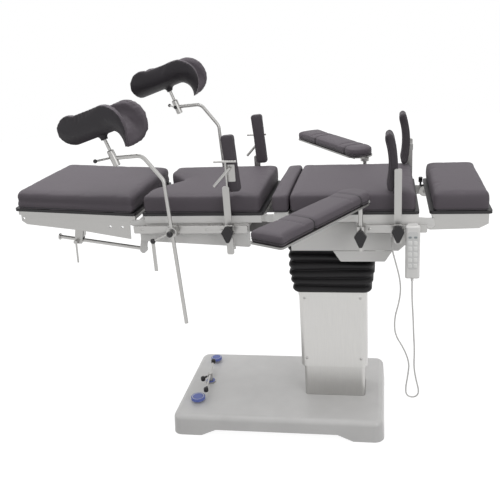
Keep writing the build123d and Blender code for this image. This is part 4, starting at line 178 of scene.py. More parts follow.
class Finish:
    """A material under construction: one method adds any node, the others are its shorthands."""

    def __init__(self, name):
        self.material = bpy.data.materials.new(name)
        self.material.use_nodes = True
        self.tree = self.material.node_tree
        self.tree.nodes.clear()
        self.place = self.node("ShaderNodeTexCoord").outputs["Object"]

    def feed(self, socket, value):
        """Links a socket or expression, or sets a plain value."""
        if isinstance(value, Sock):
            value = value.socket
        if isinstance(value, bpy.types.NodeSocket):
            self.tree.links.new(value, socket)
        else:
            socket.default_value = value

    def node(self, kind, settings=None, **values):
        """Adds a node: its settings first, then its inputs by name, with _ for a space."""
        node = self.tree.nodes.new(kind)
        for key, value in (settings or {}).items():
            setattr(node, key, value)
        for key, value in values.items():
            self.feed(node.inputs[key.replace("_", " ")], value)
        return node

    def moved(self, scale, shift=(0, 0, 0)):
        """The place on the piece, scaled and shifted."""
        node = self.node("ShaderNodeMapping", Vector=self.place, Scale=scale, Location=shift)
        return node.outputs[0]

    def noise(self, scale, detail=3.0, roughness=0.5, place=None):
        """Value noise between 0 and 1 of that many cells a metre."""
        node = self.node("ShaderNodeTexNoise", Vector=place or self.place,
                         Scale=scale, Detail=detail, Roughness=roughness)
        return Sock(self.tree, node.outputs[0])

    def cells(self, scale):
        """Distance to the nearest of that many cell points a metre, for grain."""
        node = self.node("ShaderNodeTexVoronoi", {"feature": "F1"}, Vector=self.place, Scale=scale)
        return Sock(self.tree, node.outputs["Distance"])

    def distance(self, point, weights=(1, 1, 1)):
        """Distance from a point; weights of (1, 1, 0) measure it round an upright axis."""
        scaled = self.moved(scale=weights, shift=[-p * w for p, w in zip(point, weights)])
        node = self.node("ShaderNodeVectorMath", {"operation": "LENGTH"})
        self.tree.links.new(scaled, node.inputs[0])
        return Sock(self.tree, node.outputs["Value"])

    def smooth(self, value, low, high):
        """0 below low, 1 above high, smooth between."""
        node = self.node("ShaderNodeMapRange", {"interpolation_type": "SMOOTHSTEP"})
        self.feed(node.inputs["Value"], value)
        node.inputs["From Min"].default_value = low
        node.inputs["From Max"].default_value = high
        return Sock(self.tree, node.outputs["Result"])

    def mix(self, share, first, second):
        """Colour between first and second by share."""
        node = self.node("ShaderNodeMix", {"data_type": "RGBA"})
        self.feed(node.inputs[0], share)
        for socket, value in ((node.inputs[6], first), (node.inputs[7], second)):
            self.feed(socket, value + (1.0,) if isinstance(value, tuple) else value)
        return node.outputs[2]

    def bump(self, height, distance, strength, under=None):
        """Normal from a height in 0-1 that stands for that distance in metres."""
        node = self.node("ShaderNodeBump", Height=height, Distance=distance, Strength=strength)
        if under is not None:
            self.tree.links.new(under, node.inputs["Normal"])
        return node.outputs[0]

    def surface(self, colour, roughness, normal, **values):
        """Closes the material with one Principled shader."""
        shader = self.node("ShaderNodeBsdfPrincipled", Base_Color=colour, Roughness=roughness,
                           Normal=normal, **values)
        self.node("ShaderNodeOutputMaterial", Surface=shader.outputs[0])
        return self.material


def tone(colour, factor):
    """A colour made lighter or darker."""
    return tuple(min(1.0, c * factor) for c in colour)


def shade(name, factor=1.0):
    """One of the scene's colours, made lighter or darker."""
    return tone(getattr(bpy.context.scene.table_colours, name), factor)


def sizes():
    """The scene's size properties."""
    return bpy.context.scene.table_sizes


def placed(name, data):
    """A new object of that data in the scene."""
    item = bpy.data.objects.new(name, data)
    bpy.context.scene.collection.objects.link(item)
    return item


VINYL_GRAIN = 950.0  # cells of the pebbling to a metre
METAL = 0.92


def vinyl(name="vinyl cover", level=1.0):
    """Upholstery vinyl: pebbled grain, faint stretch creases and uneven sheen."""
    if name in bpy.data.materials:
        return bpy.data.materials[name]
    finish = Finish(name)
    base = shade("vinyl", level)
    cloud = finish.noise(5.0, 4.0)
    fleck = finish.noise(240.0, 2.0)
    colour = finish.mix(cloud * 0.75 + fleck * 0.25, tone(base, 0.86), tone(base, 1.14))
    grain = finish.cells(VINYL_GRAIN)
    crease = finish.noise(26.0, 5.0, 0.6)
    normal = finish.bump(crease, 0.0016, 0.35)
    normal = finish.bump(grain, 0.00022, 0.55, under=normal)
    rough = 0.50 + cloud * 0.12 + grain * 0.08
    return finish.surface(colour, rough, normal, Specular_IOR_Level=0.30)


def shaded_under_vinyl():
    """Underside of the knee gutters: the same vinyl painted near-black as shade on their outer faces,
    a little smoother.
    """
    finish = Finish("vinyl underside")
    cloud = finish.noise(8.0, 4.0)
    grain = finish.bump(finish.cells(VINYL_GRAIN), 0.0002, 0.5)
    # near-black painted shade for the gutters' outer faces, which face down and away from the light
    colour = finish.mix(cloud, srgb(38, 35, 39), srgb(52, 49, 53))
    return finish.surface(colour, 0.44 + cloud * 0.1, grain, Specular_IOR_Level=0.3)


def seam_vinyl():
    """Welt cord of the side pads: the same vinyl, a little darker and glossier."""
    finish = Finish("vinyl welt")
    mottled = finish.noise(300.0, 2.0)
    colour = finish.mix(mottled, shade("vinyl", 0.66), shade("vinyl", 0.84))
    return finish.surface(colour, 0.36 + mottled * 0.1, finish.bump(mottled, 0.0002, 0.4))


def seam_shade_line():
    """Line of the hems and channels: a welt painted nearly black as the shade in the seam's crease.
    """
    if "channel thread" in bpy.data.materials:
        return bpy.data.materials["channel thread"]
    finish = Finish("channel thread")
    line_fleck = finish.noise(1500.0, 2.0)
    # nearly black painted shade in the creases of hems and channels
    colour = finish.mix(line_fleck, srgb(22, 20, 23), srgb(46, 43, 47))
    return finish.surface(colour, 0.6, finish.bump(line_fleck, 0.0001, 0.5))


def blobs_mask(finish, blobs):
    """1 inside any of the spheres (point, radius), 0 outside."""
    mask = None
    for point, radius in blobs:
        inside = finish.distance(point) < radius
        mask = inside if mask is None else mask.math("MAXIMUM", inside)
    return mask


def brushed(name, along, black_blobs=(), level=1.0):
    """Brushed stainless steel: fine streaks along one axis, faint smudges and black knobs."""
    finish = Finish(name)
    base = shade("steel", level)
    scale = [14.0 if a else 900.0 for a in along]
    streak = finish.noise(1.0, 2.0, 0.6, place=finish.moved(scale))
    smudge = finish.noise(9.0, 3.0)
    colour = finish.mix(streak * 0.7 + smudge * 0.3, tone(base, 0.86), tone(base, 1.1))
    rough = 0.24 + streak * 0.14 + smudge * 0.08
    normal = finish.bump(streak, 0.00005, 0.5)
    if not black_blobs:
        return finish.surface(colour, rough, normal, Metallic=METAL)
    mask = blobs_mask(finish, black_blobs)
    speck = finish.noise(700.0, 2.0)
    dark = finish.mix(speck, shade("black", 0.9), shade("black", 1.3))
    colour = finish.mix(mask, colour, dark)
    rough = rough * (1 - mask) + mask * 0.38
    return finish.surface(colour, rough, normal, Metallic=(1 - mask) * METAL)


def painted(name, base):
    """Powder coat: orange peel and a faint bloom."""
    finish = Finish(name)
    cloud = finish.noise(6.0, 3.0)
    peel = finish.noise(520.0, 2.0)
    colour = finish.mix(cloud, tone(base, 0.94), tone(base, 1.05))
    normal = finish.bump(peel, 0.00006, 0.6)
    return finish.surface(colour, 0.34 + cloud * 0.1 + peel * 0.04, normal, Coat_Weight=0.12)


def moulded(name, base, rough=0.42, grain=620.0, depth=0.0001):
    """Moulded plastic: spark-eroded grain and slight gloss changes."""
    finish = Finish(name)
    cloud = finish.noise(11.0, 3.0)
    pitted = finish.noise(grain, 3.0, 0.6)
    colour = finish.mix(cloud * 0.6 + pitted * 0.4, tone(base, 0.88), tone(base, 1.12))
    gloss = rough + pitted * 0.12 - cloud * 0.05
    return finish.surface(colour, gloss, finish.bump(pitted, depth, 0.6))


def rubber():
    """Black rubberised cloth of the bellows: matt, with a fine weave and dusty patches."""
    finish = Finish("bellows cloth")
    weave = finish.noise(900.0, 2.0)
    dust = finish.noise(18.0, 4.0)
    colour = finish.mix(dust * 0.7 + weave * 0.3, shade("black", 0.4), shade("black"))
    normal = finish.bump(weave, 0.00015, 0.6)
    return finish.surface(colour, 0.46 + weave * 0.15, normal, Specular_IOR_Level=0.35)


PEDAL_RINGS = (((-0.290, -0.170, 0.0), 0.0264), ((-0.290, 0.205, 0.0), 0.0216))  # centre, radius


def pedal_finish():
    """Blue moulded pedal with a pale ring in its top, where |distance - radius| is small."""
    finish = Finish("pedal cap")
    speck = finish.noise(400.0, 2.0)
    colour = finish.mix(speck, shade("blue", 0.9), shade("blue", 1.1))
    for centre, radius in PEDAL_RINGS:
        away = finish.distance(centre, (1, 1, 0))
        band = finish.smooth((away - radius).math("ABSOLUTE"), 0.0019, 0.0015)
        colour = finish.mix(band, colour, srgb(205, 208, 214))
    return finish.surface(colour, 0.3 + speck * 0.1, finish.bump(speck, 0.00005, 0.5))


# Surfaces worked out with numpy


def make_piece(name, points, faces, material, crease=True):
    """A mesh object from point and face arrays, smooth, with sharp edges kept where crease is set."""
    mesh = bpy.data.meshes.new(name)
    mesh.from_pydata(points.reshape(-1, 3).tolist(), [], faces.tolist())
    mesh.validate()
    mesh.update()
    piece = placed(name, mesh)
    mesh.materials.append(material)
    mesh.shade_smooth()
    if crease:
        mesh.set_sharp_from_angle(angle=radians(38))
    return piece


def grid_faces(rows, columns, start=0):
    """Quads of a grid of rows by columns, joined round in the column direction."""
    r, c = np.meshgrid(np.arange(rows - 1), np.arange(columns), indexing="ij")
    n = (c + 1) % columns
    low, high = r * columns + start, (r + 1) * columns + start
    return np.stack([low + c, low + n, high + n, high + c], -1).reshape(-1, 4)


def lathe_points(profile, centre, axis, turns):
    """A (radius, height) profile turned round a unit axis a: c + r cos t u + r sin t v + h a."""
    a = np.array(axis, float)
    u = np.cross(a, (0, 0, 1) if abs(a[2]) < 0.9 else (1, 0, 0))
    v = np.cross(a, u)
    t = np.arange(turns) * 2 * pi / turns
    r, h = np.array(profile).T[:, :, None, None]
    ring = np.cos(t)[:, None] * u + np.sin(t)[:, None] * v
    return np.array(centre) + r * ring[None] + h * a


def merged(name, blocks, material, body):
    """Point grids, each closed at both ends, as one mesh that rides on a body."""
    faces, start = [], 0
    for block in blocks:
        rows, columns = block.shape[:2]
        faces.append(grid_faces(rows, columns, start))
        start += rows * columns
    points = np.concatenate([block.reshape(-1, 3) for block in blocks])
    piece = make_piece(name, points, np.concatenate(faces), material)
    tidy_mesh(piece)
    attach(piece, body)
    return piece


def tidy_mesh(piece):
    """Merges doubled points, such as poles, and turns all faces outwards."""
    work = bmesh.new()
    work.from_mesh(piece.data)
    bmesh.ops.remove_doubles(work, verts=work.verts, dist=1e-6)
    bmesh.ops.recalc_face_normals(work, faces=work.faces)
    work.to_mesh(piece.data)
    work.free()


KEY_TURNS = 40
KEY_POWER = 5.0


def key_points(centre, half_width, half_height, height, crown):
    """Raised key: rings of the superellipse |x|^p + |y|^p = 1, drawn in and domed towards the middle.

    Each ring is (scale, height share); a point is c + s cos^(2/p) a u + s sin^(2/p) b v + h n, with
    u along X, v up and n towards the front.
    """
    u, v, n = np.array((1.0, 0.0, 0.0)), np.array((0.0, 0.0, 1.0)), np.array((0.0, -1.0, 0.0))
    t = np.arange(KEY_TURNS) * 2 * pi / KEY_TURNS
    x = np.sign(np.cos(t)) * np.abs(np.cos(t)) ** (2 / KEY_POWER)
    y = np.sign(np.sin(t)) * np.abs(np.sin(t)) ** (2 / KEY_POWER)
    scale = np.array([1.0, 1.0, 0.97, 0.90, 0.6, 0.3, 0.0])
    lift = np.array([-0.6, 0.55, 0.85, 1.0, 1.0, 1.0, 1.0]) * height
    lift = lift + crown * np.array([0, 0, 0, 0, 0.64, 0.91, 1.0])
    ring = x[:, None] * half_width * u + y[:, None] * half_height * v
    return np.array(centre) + scale[:, None, None] * ring[None] + lift[:, None, None] * n


# Soft forms

CLOTH_FRAMES = 20
CLOTH = {
    "quality": 3, "mass": 0.3, "tension_stiffness": 12, "compression_stiffness": 12,
    "shear_stiffness": 8, "bending_stiffness": 0.4, "use_pressure": True,
}
EASE_RISE, EASE_FOOT = 2.2, 0.35  # eased from a sixth of the height, fully from three fifths
JOIN_HELD, JOIN_BLEND = 0.006, 0.030  # beside a neighbour a cover is held, then let go over this


def settled(piece):
    """Applies the piece's modifiers to its mesh."""
    graph = bpy.context.evaluated_depsgraph_get()
    done = bpy.data.meshes.new_from_object(piece.evaluated_get(graph))
    piece.modifiers.clear()
    piece.data = done


def vectors(items, kind):
    """The vectors of that kind of a mesh's points or faces, as an array."""
    flat = np.empty(len(items) * 3)
    items.foreach_get(kind, flat)
    return flat.reshape(-1, 3)


def coordinates(piece):
    """The piece's points as an array."""
    return vectors(piece.data.vertices, "co")


def set_coordinates(piece, points):
    """Puts an array back into the piece's points."""
    piece.data.vertices.foreach_set("co", points.ravel())
    piece.data.update()


def filled(piece, pressure, free):
    """Fills the cover with cloth pressure; a point moves by its share of the swell at most."""
    before = coordinates(piece)
    cloth = piece.modifiers.new("Cloth", "CLOTH")
    for name, value in CLOTH.items():
        setattr(cloth.settings, name, value)
    cloth.settings.uniform_pressure_force = pressure
    cloth.settings.effector_weights.gravity = 0
    cloth.point_cache.frame_start = 1
    cloth.point_cache.frame_end = CLOTH_FRAMES
    scene = bpy.context.scene
    for number in range(1, CLOTH_FRAMES + 1):
        scene.frame_set(number)
    graph = bpy.context.evaluated_depsgraph_get()
    move = coordinates(piece.evaluated_get(graph)) - before
    length = np.linalg.norm(move, axis=1, keepdims=True)
    move *= np.minimum(1.0, sizes().swell / np.maximum(length, 1e-9)) * free[:, None]
    piece.modifiers.clear()
    scene.frame_set(1)
    set_coordinates(piece, before + move)


def eased(piece, turns, weights):
    """Rounds the cover: each turn moves a point by its weight towards its neighbours' mean."""
    group = piece.vertex_groups.new(name="Eased")
    for index, weight in enumerate(weights):
        group.add([index], float(weight), "REPLACE")
    smooth = piece.modifiers.new("Round", "SMOOTH")
    smooth.factor = 0.5
    smooth.iterations = turns
    smooth.vertex_group = group.name
    settled(piece)


def soft_copy(node, name, pitch, tuck, pressure=4.0, rest=None, turns=0, joined=None):
    """A cover grown from a pad's solid: an even mesh, drawn in by tuck, filled, then divided once.

    rest is the unit direction in which the pad presses on its board; faces that way stay flat.
    turns is how often the upper edges are eased, and joined an x where the pad meets its neighbour.
    """
    piece = placed(name, NODES[node].data.copy())
    piece.data.materials.clear()
    tidy_mesh(piece)
    remesh = piece.modifiers.new("Even", "REMESH")
    remesh.mode = "VOXEL"
    remesh.voxel_size = pitch
    settled(piece)
    start = coordinates(piece)
    normal = vectors(piece.data.vertices, "normal")
    down = np.zeros(len(start)) if rest is None else np.clip(normal @ rest, 0.0, 1.0) ** 2
    free = np.ones(len(start))
    if joined is not None:
        free = np.clip((np.abs(start[:, 0] - joined) - JOIN_HELD) / JOIN_BLEND, 0.0, 1.0)
    set_coordinates(piece, start - normal * (tuck * (1 - down) * free)[:, None])
    if turns:
        depth = start @ rest
        share = (depth.max() - depth) / (depth.max() - depth.min())
        eased(piece, turns, np.clip(share * EASE_RISE - EASE_FOOT, 0.0, 1.0) * free)
    filled(piece, pressure, free)
    if rest is not None:
        # what rests on the board stays at the board's level
        now = coordinates(piece)
        over = np.maximum(now @ rest - (start @ rest).max(), 0.0)
        set_coordinates(piece, now - over[:, None] * rest)
    divide = piece.modifiers.new("Divide", "SUBSURF")
    divide.levels = divide.render_levels = 1
    settled(piece)
    piece.data.shade_smooth()
    piece.data.materials.append(vinyl())
    return piece


def groove(piece, way, level, depth, width, all_round=False):
    """Presses a seam into the piece: a point at height h along way moves in, square to way, by
    depth exp(-((h - level) / width)^2), on the sides alone unless all_round is set."""
    points = coordinates(piece)
    normal = vectors(piece.data.vertices, "normal")
    rise = normal @ way
    amount = depth * np.exp(-(((points @ way - level) / width) ** 2))
    if not all_round:
        amount = amount * np.clip((1 - np.abs(rise)) * 2, 0, 1)
    outward = normal - rise[:, None] * way
    set_coordinates(piece, points - outward * amount[:, None])


def welt(piece, name, point, normal, radius, body, material):
    """A welt along the line where a plane cuts the piece: the cut, as a curve with a round bevel."""
    cut = bmesh.new()
    cut.from_mesh(piece.data)
    bmesh.ops.bisect_plane(
        cut, geom=cut.verts[:] + cut.edges[:] + cut.faces[:], dist=1e-7,
        plane_co=point, plane_no=normal, clear_inner=True, clear_outer=True)
    mesh = bpy.data.meshes.new(name)
    cut.to_mesh(mesh)
    cut.free()
    line = placed(name, mesh)
    for other in bpy.context.selected_objects:
        other.select_set(False)
    line.select_set(True)
    bpy.context.view_layer.objects.active = line
    bpy.ops.object.convert(target="CURVE")
    line = bpy.context.view_layer.objects.active
    line.data.bevel_depth = radius
    line.data.bevel_resolution = 1
    line.data.use_fill_caps = True
    bpy.ops.object.convert(target="MESH")
    line = bpy.context.view_layer.objects.active
    line.name = name
    line.select_set(False)
    line.data.materials.clear()
    line.data.materials.append(material)
    line.data.shade_smooth()
    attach(line, body)


def declare_pad(piece, node, body):
    """The finished cover stands for its solid and rides on its body."""
    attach(piece, body)
    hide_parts(node)


CUSHIONS = (
    # section, body, turns of easing, x of the neighbour that it touches
    ("leg", "leg", 34, None),
    ("seat", "top", 12, None),
    ("kidney", "kidney", 12, 0.198),
    ("back", "back", 12, 0.198),
    ("head", "head", 22, None),
)
CUSHION_TUCK = 0.0035
HEM_HEIGHT, HEM_GROOVE = 0.007, (0.0022, 0.0045)  # a groove is its depth and width
CREASE_HEIGHT, CREASE = 0.034, (0.0035, 0.010)


def section_cushions():
    """The five section cushions with a hem at the foot, drawn as a near-black welt of painted shade,
    and the leg's soft crease.
    """
    for section, body, turns, joined in CUSHIONS:
        node = section + "_cushion"
        up = np.array((sin(LEG_TILT), 0.0, cos(LEG_TILT))) if section == "leg" else UP
        piece = soft_copy(node, section + "_cover", sizes().cushion_pitch, CUSHION_TUCK,
                          rest=-up, turns=turns, joined=joined)
        foot = (coordinates(piece) @ up).min()
        level = foot + HEM_HEIGHT
        groove(piece, up, level, *HEM_GROOVE)
        if section == "leg":
            groove(piece, up, foot + CREASE_HEIGHT, *CREASE)
        # the hem's welt is a near-black line of painted shade in the crease at the cushion's foot
        welt(piece, section + "_hem", tuple(up * level), tuple(up), sizes().hem, body, seam_shade_line())
        declare_pad(piece, node, body)
        if section == "kidney":
            # it is pressed flat on its board as the back section comes up against the seat
            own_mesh(piece)


ARM_HEADINGS = {"near": 242.2, "far": 121.8}  # degrees from the way to the head end
ARM_PIVOT = (0.481, 0.318)
ARM_CHANNELS = (0.092, 0.402)  # distances from the pivot along the board
# the welt radii below are of near-black lines of painted shade in the channels and at the hem
CHANNEL_GROOVE, CHANNEL_SHADE_LINE = (0.0062, 0.0065), 0.0033
ARM_HEM_HEIGHT, ARM_HEM_GROOVE, ARM_HEM = 0.009, (0.0018, 0.004), 0.0022
ARM_TUCK = 0.003


def arm_pads():
    """Arm-board cushions with two sewn channels across and a hem above the tray, each with a
    near-black welt of painted shade.
    """
    for side, sign in SIDES:
        body = "arm_" + side
        node = "arm_cushion_" + side
        piece = soft_copy(node, "arm_cover_" + side, sizes().pad_pitch, ARM_TUCK, rest=-UP)
        heading = radians(ARM_HEADINGS[side])
        along = np.array((cos(heading), sin(heading), 0.0))
        pivot = np.array((ARM_PIVOT[0], sign * ARM_PIVOT[1], 0.0)) @ along
        for number, reach in enumerate(ARM_CHANNELS):
            groove(piece, along, pivot + reach, *CHANNEL_GROOVE, all_round=True)
            # each channel's welt is a near-black line of painted shade in its groove
            welt(piece, "arm_channel_%d_%s" % (number, side), tuple(along * (pivot + reach)),
                 tuple(along), CHANNEL_SHADE_LINE, body, seam_shade_line())
        level = coordinates(piece)[:, 2].min() + ARM_HEM_HEIGHT
        groove(piece, UP, level, *ARM_HEM_GROOVE)
        # the hem's welt is a near-black line of painted shade
        welt(piece, "arm_hem_" + side, tuple(UP * level), tuple(UP), ARM_HEM, body, seam_shade_line())
        declare_pad(piece, node, body)


GUTTERS = {
    # middle of the trough's mounting, heading in degrees
    "near": ((-0.51335, -0.318, 1.37862), -18.0),
    "far": ((-0.43042, 0.318, 1.48362), -2.0),
}
GUTTER_SLOPE = radians(17.5)
GUTTER_BED = (0.060, 0.0, 0.019)  # where the bed starts to roll over, from the mounting
TROUGH = 0.078  # radius of the trough's inside
ROLL = 0.048  # radius at which its bed rolls over
RIM_RISE = 0.6  # a normal that leans upwards more than this is a rim's
GUTTER_TUCK, GUTTER_PRESSURE = 0.002, 3.0


def outer_faces(piece, origin, heading):
    """Which faces are on the outside of a trough that runs straight and then rolls over downwards.

    With a along the trough and w upwards from its bed, the nearest point c of its middle line is
    bed + s a + r w on the straight part, and on the roll it is roll centre + (roll + r) e, where e
    points from the roll centre to the face. A face is outside where normal . (p - c) > 0, and the
    rims, whose normals follow w or e, are left out.
    """
    turn = radians(heading)
    axes = np.array([(cos(turn), sin(turn), 0.0), (-sin(turn), cos(turn), 0.0), (0.0, 0.0, 1.0)])
    point = (vectors(piece.data.polygons, "center") - origin) @ axes.T
    normal = vectors(piece.data.polygons, "normal") @ axes.T
    bed = np.array(GUTTER_BED)
    along = np.array((cos(GUTTER_SLOPE), 0.0, sin(GUTTER_SLOPE)))
    up = np.array((-sin(GUTTER_SLOPE), 0.0, cos(GUTTER_SLOPE)))
    reach = (point - bed) @ along
    rolled = reach > 0
    hub = bed - ROLL * up
    angle = np.where(rolled, np.arctan2(reach, (point - hub) @ up), 0.0)
    spoke = np.cos(angle)[:, None] * up + np.sin(angle)[:, None] * along
    straight = bed + reach[:, None] * along + TROUGH * up
    middle = np.where(rolled[:, None], hub + (ROLL + TROUGH) * spoke, straight)
    away = np.einsum("ij,ij->i", normal, point - middle)
    rise = np.einsum("ij,ij->i", normal, spoke)
    return (away > 0) & (rise <= RIM_RISE)


def knee_gutters():
    """Knee gutters: padded troughs, grey inside, with near-black painted shade on the outside."""
    underside = shaded_under_vinyl()
    for side, _ in SIDES:
        node = "leg_pad_" + side
        piece = soft_copy(node, "gutter_" + side, sizes().pad_pitch, GUTTER_TUCK,
                          pressure=GUTTER_PRESSURE)
        piece.data.materials.append(underside)
        # the outer faces get the near-black vinyl of painted shade
        outside = outer_faces(piece, *GUTTERS[side])
        piece.data.polygons.foreach_set("material_index", outside.astype(np.int32))
        declare_pad(piece, node, "leg_pad_" + side)


SIDE_PAD_PITCH, SIDE_PAD_TUCK = 0.005, 0.002
SIDE_PADS = (
    # kind, how far its vinyl is darkened as painted shade, share of the width at which a welt runs,
    # radius of the welt
    ("hip", 0.72, 0.14, 0.0016),
    ("shoulder", 0.52, 0.12, 0.0014),
)


def side_pads():
    """Hip and shoulder pads in darker copies of the vinyl as painted shade, piped round both faces.
    """
    piping = seam_vinyl()
    for side, _ in SIDES:
        for kind, level, inset, radius in SIDE_PADS:
            node = kind + "_pad_" + side
            body = kind + "_support_" + side
            piece = soft_copy(node, kind + "_cover_" + side, SIDE_PAD_PITCH, SIDE_PAD_TUCK)
            # a darker copy of the vinyl for each kind of pad stands for painted shade
            piece.data.materials[0] = vinyl(kind + " vinyl", level)
            low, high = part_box(node)
            for name, share in (("inner", inset), ("outer", 1 - inset)):
                place = low[1] + (high[1] - low[1]) * share
                label = "_".join((kind, "welt", name, side))
                welt(piece, label, (0, place, 0), (0, 1, 0), radius, body, piping)
            declare_pad(piece, node, body)


BOOT_ROWS, BOOT_COLUMNS = 61, 160
BOOT_CORNER = 0.046
BOOT_WALL = 0.0025
BOOT_LAP = 0.001  # by which each half passes the tilt axes
TILT_HEIGHT = 0.760
FOLDS, FOLD_DEPTH, FOLD_WANDER = 6, 0.017, 0.003
FOOT_TAPER = 0.016


def bellows_points(low, high):
    """Part of the boot between two heights: a rounded rectangle, drawn in by a fold profile.

    The outline is a rounded rectangle by arc length; each row is moved inwards by
    depth (1 - |sin(folds pi h)|^0.8) plus the taper of the foot, and the folds wander a little in
    height by a sine of the arc length and h.
    """
    (x0, y0, z0), (x1, y1, z1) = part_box("bellows")
    half_x, half_y = (x1 - x0) / 2, (y1 - y0) / 2
    t = np.arange(BOOT_COLUMNS) / BOOT_COLUMNS * 2 * pi
    straight = [2 * (half_x - BOOT_CORNER), 2 * (half_y - BOOT_CORNER)] * 2
    arc = BOOT_CORNER * pi / 2
    ends = np.cumsum([arc + s for s in straight])
    along = t / (2 * pi) * ends[-1]
    starts = np.concatenate([[0], ends[:-1]])
    index = np.searchsorted(ends, along, side="right")
    local = along - starts[index]
    angle = np.clip(local / arc, 0, 1) * pi / 2 + index * pi / 2
    run = np.maximum(local - arc, 0)
    corners = np.array([(1, 1), (-1, 1), (-1, -1), (1, -1)]) * (straight[0] / 2, straight[1] / 2)
    outward = np.stack([np.cos(angle), np.sin(angle)], -1)
    edge = (index + 1) * pi / 2
    outline = corners[index] + outward * BOOT_CORNER
    outline = outline + np.stack([-np.sin(edge), np.cos(edge)], -1) * run[:, None]
    h = np.linspace(low, high, BOOT_ROWS)
    share = (h - z0) / (z1 - z0)
    ridge = np.abs(np.sin(share * FOLDS * pi)) ** 0.8
    inset = FOLD_DEPTH * (1 - ridge) + FOOT_TAPER * np.clip(1 - share * 12 / 5, 0, 1)
    inset = np.maximum(inset, 0.0002)
    flat = outline[None] - outward[None] * inset[:, None, None]
    middle = np.array([(x0 + x1) / 2, (y0 + y1) / 2])
    wander = np.sin(2 * t + 9 * share[:, None]) * np.sin(pi * share)[:, None]
    height = h[:, None] + FOLD_WANDER * wander
    return np.concatenate([flat + middle, height[:, :, None]], -1)


def bellows_boot():
    """The boot in two halves that meet at the tilt axes."""
    material = rubber()
    (x0, _, z0), (x1, _, z1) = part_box("bellows")
    faces = grid_faces(BOOT_ROWS, BOOT_COLUMNS)
    for name, low, high, pair in (
        ("boot_lower", z0, TILT_HEIGHT + BOOT_LAP, ("lift", "gimbal")),
        ("boot_upper", TILT_HEIGHT - BOOT_LAP, z1, ("gimbal", "top")),
    ):
        piece = make_piece(name, bellows_points(low, high), faces, material, crease=False)
        solid = piece.modifiers.new("Wall", "SOLIDIFY")
        solid.thickness = BOOT_WALL
        solid.offset = -1
        settled(piece)
        piece.data.shade_smooth()
        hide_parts("bellows")
        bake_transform(piece)


CORD_ROUTE = (
    (680.0, -308.0, 774.0), (680.0, -308.0, 704.0), (686.0, -310.0, 622.0), (689.0, -311.0, 545.0),
    (694.0, -311.0, 465.0), (692.0, -310.0, 390.0), (702.0, -309.0, 330.0), (713.0, -308.0, 284.0),
    (713.0, -308.0, 262.0), (703.0, -308.0, 248.0), (687.0, -307.0, 243.0), (671.0, -307.0, 248.0),
    (661.0, -307.0, 262.0), (661.0, -307.0, 296.0), (669.0, -308.0, 350.0), (674.0, -308.0, 408.0),
    (650.0, -309.0, 476.0), (614.0, -309.0, 536.0), (612.0, -308.0, 610.0), (630.0, -307.0, 680.0),
    (637.0, -306.0, 740.0), (629.0, -304.0, 798.0), (614.0, -289.0, 850.0), (600.0, -267.0, 898.0),
    (600.0, -267.0, 944.0),
)
CORD_RADIUS = 0.003


def handset_cord():
    """Cord of the hand control, as a smooth spline on its route's points."""
    route = np.array(CORD_ROUTE) / 1000.0
    curve = bpy.data.curves.new("control_cord", "CURVE")
    curve.dimensions = "3D"
    spline = curve.splines.new("NURBS")
    spline.points.add(len(route) - 1)
    spline.points.foreach_set("co", np.column_stack([route, np.ones(len(route))]).ravel())
    spline.order_u = 3
    spline.use_endpoint_u = True
    spline.resolution_u = 10
    curve.bevel_depth = CORD_RADIUS
    curve.bevel_resolution = 4
    curve.use_fill_caps = True
    piece = placed("control_cord", curve)
    curve.materials.append(moulded("cord jacket", srgb(212, 211, 209), 0.45, 900.0, 0.00006))
    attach(piece, "back")
    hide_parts("handset_cord")


KEYPAD_MIDDLE, KEYPAD_HALF = 0.905, (0.0225, 0.078)
KEY_FOOT, KEY_STEP = 0.842, 0.0235  # height of the lowest row, rise to the next
KEY_COLUMN = 0.0105
KEY_HALF, LAMP_HALF = (0.0075, 0.0085), (0.006, 0.004)
PANEL_LIFT, KEY_LIFT, KEY_CROWN = 0.0008, 0.0012, 0.0004


def handset_keys():
    """Keypad of the hand control: an inset panel with two columns of keys and a row of lamps."""
    (x0, face, _), (x1, _, _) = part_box("handset")
    middle = (x0 + x1) / 2
    panel = [key_points((middle, face, KEYPAD_MIDDLE), *KEYPAD_HALF, PANEL_LIFT, 0.0)]
    *key_rows, lamp_row = KEY_FOOT + np.arange(6) * KEY_STEP
    front = face - PANEL_LIFT
    columns = (middle - KEY_COLUMN, middle + KEY_COLUMN)
    pads = [key_points((x, front, z), *KEY_HALF, KEY_LIFT, KEY_CROWN)
            for z in key_rows for x in columns]
    lamps = [key_points((x, front, lamp_row), *LAMP_HALF, KEY_LIFT, KEY_CROWN) for x in columns]
    for name, blocks, label, colour, rough in (
        ("keypad_panel", panel, "keypad film", srgb(222, 222, 221), 0.35),
        ("keypad_keys", pads, "key tops", srgb(238, 238, 236), 0.4),
        ("keypad_lamps", lamps, "lamp lenses", srgb(150, 158, 160), 0.3),
    ):
        material = moulded(label, colour, rough, 800.0, 0.00004)
        merged(name, blocks, material, "back")


# profiles are (radius, height) from the face that the piece stands on
SCREW = ((0.0, 0.0026), (0.0022, 0.0026), (0.0024, 0.0010), (0.0026, 0.0028), (0.0052, 0.0024),
         (0.0064, 0.0012), (0.0066, -0.0006), (0.0, -0.0006))
RING = ((0.0135, 0.0), (0.0135, 0.0022), (0.0150, 0.0030), (0.0195, 0.0030),
        (0.0210, 0.0020), (0.0210, 0.0), (0.0135, 0.0))
SPINDLE_COLLAR = (-0.272, 0.0, 0.1085)
RAIL_HEIGHT = 0.984
HOUSING_FACE, COLUMN_FACE = 0.205, 0.095  # distances from the middle plane
HOUSING_SCREWS = ((0.222, 0.968), (0.222, 0.944), (0.640, 0.968), (0.560, 0.968))


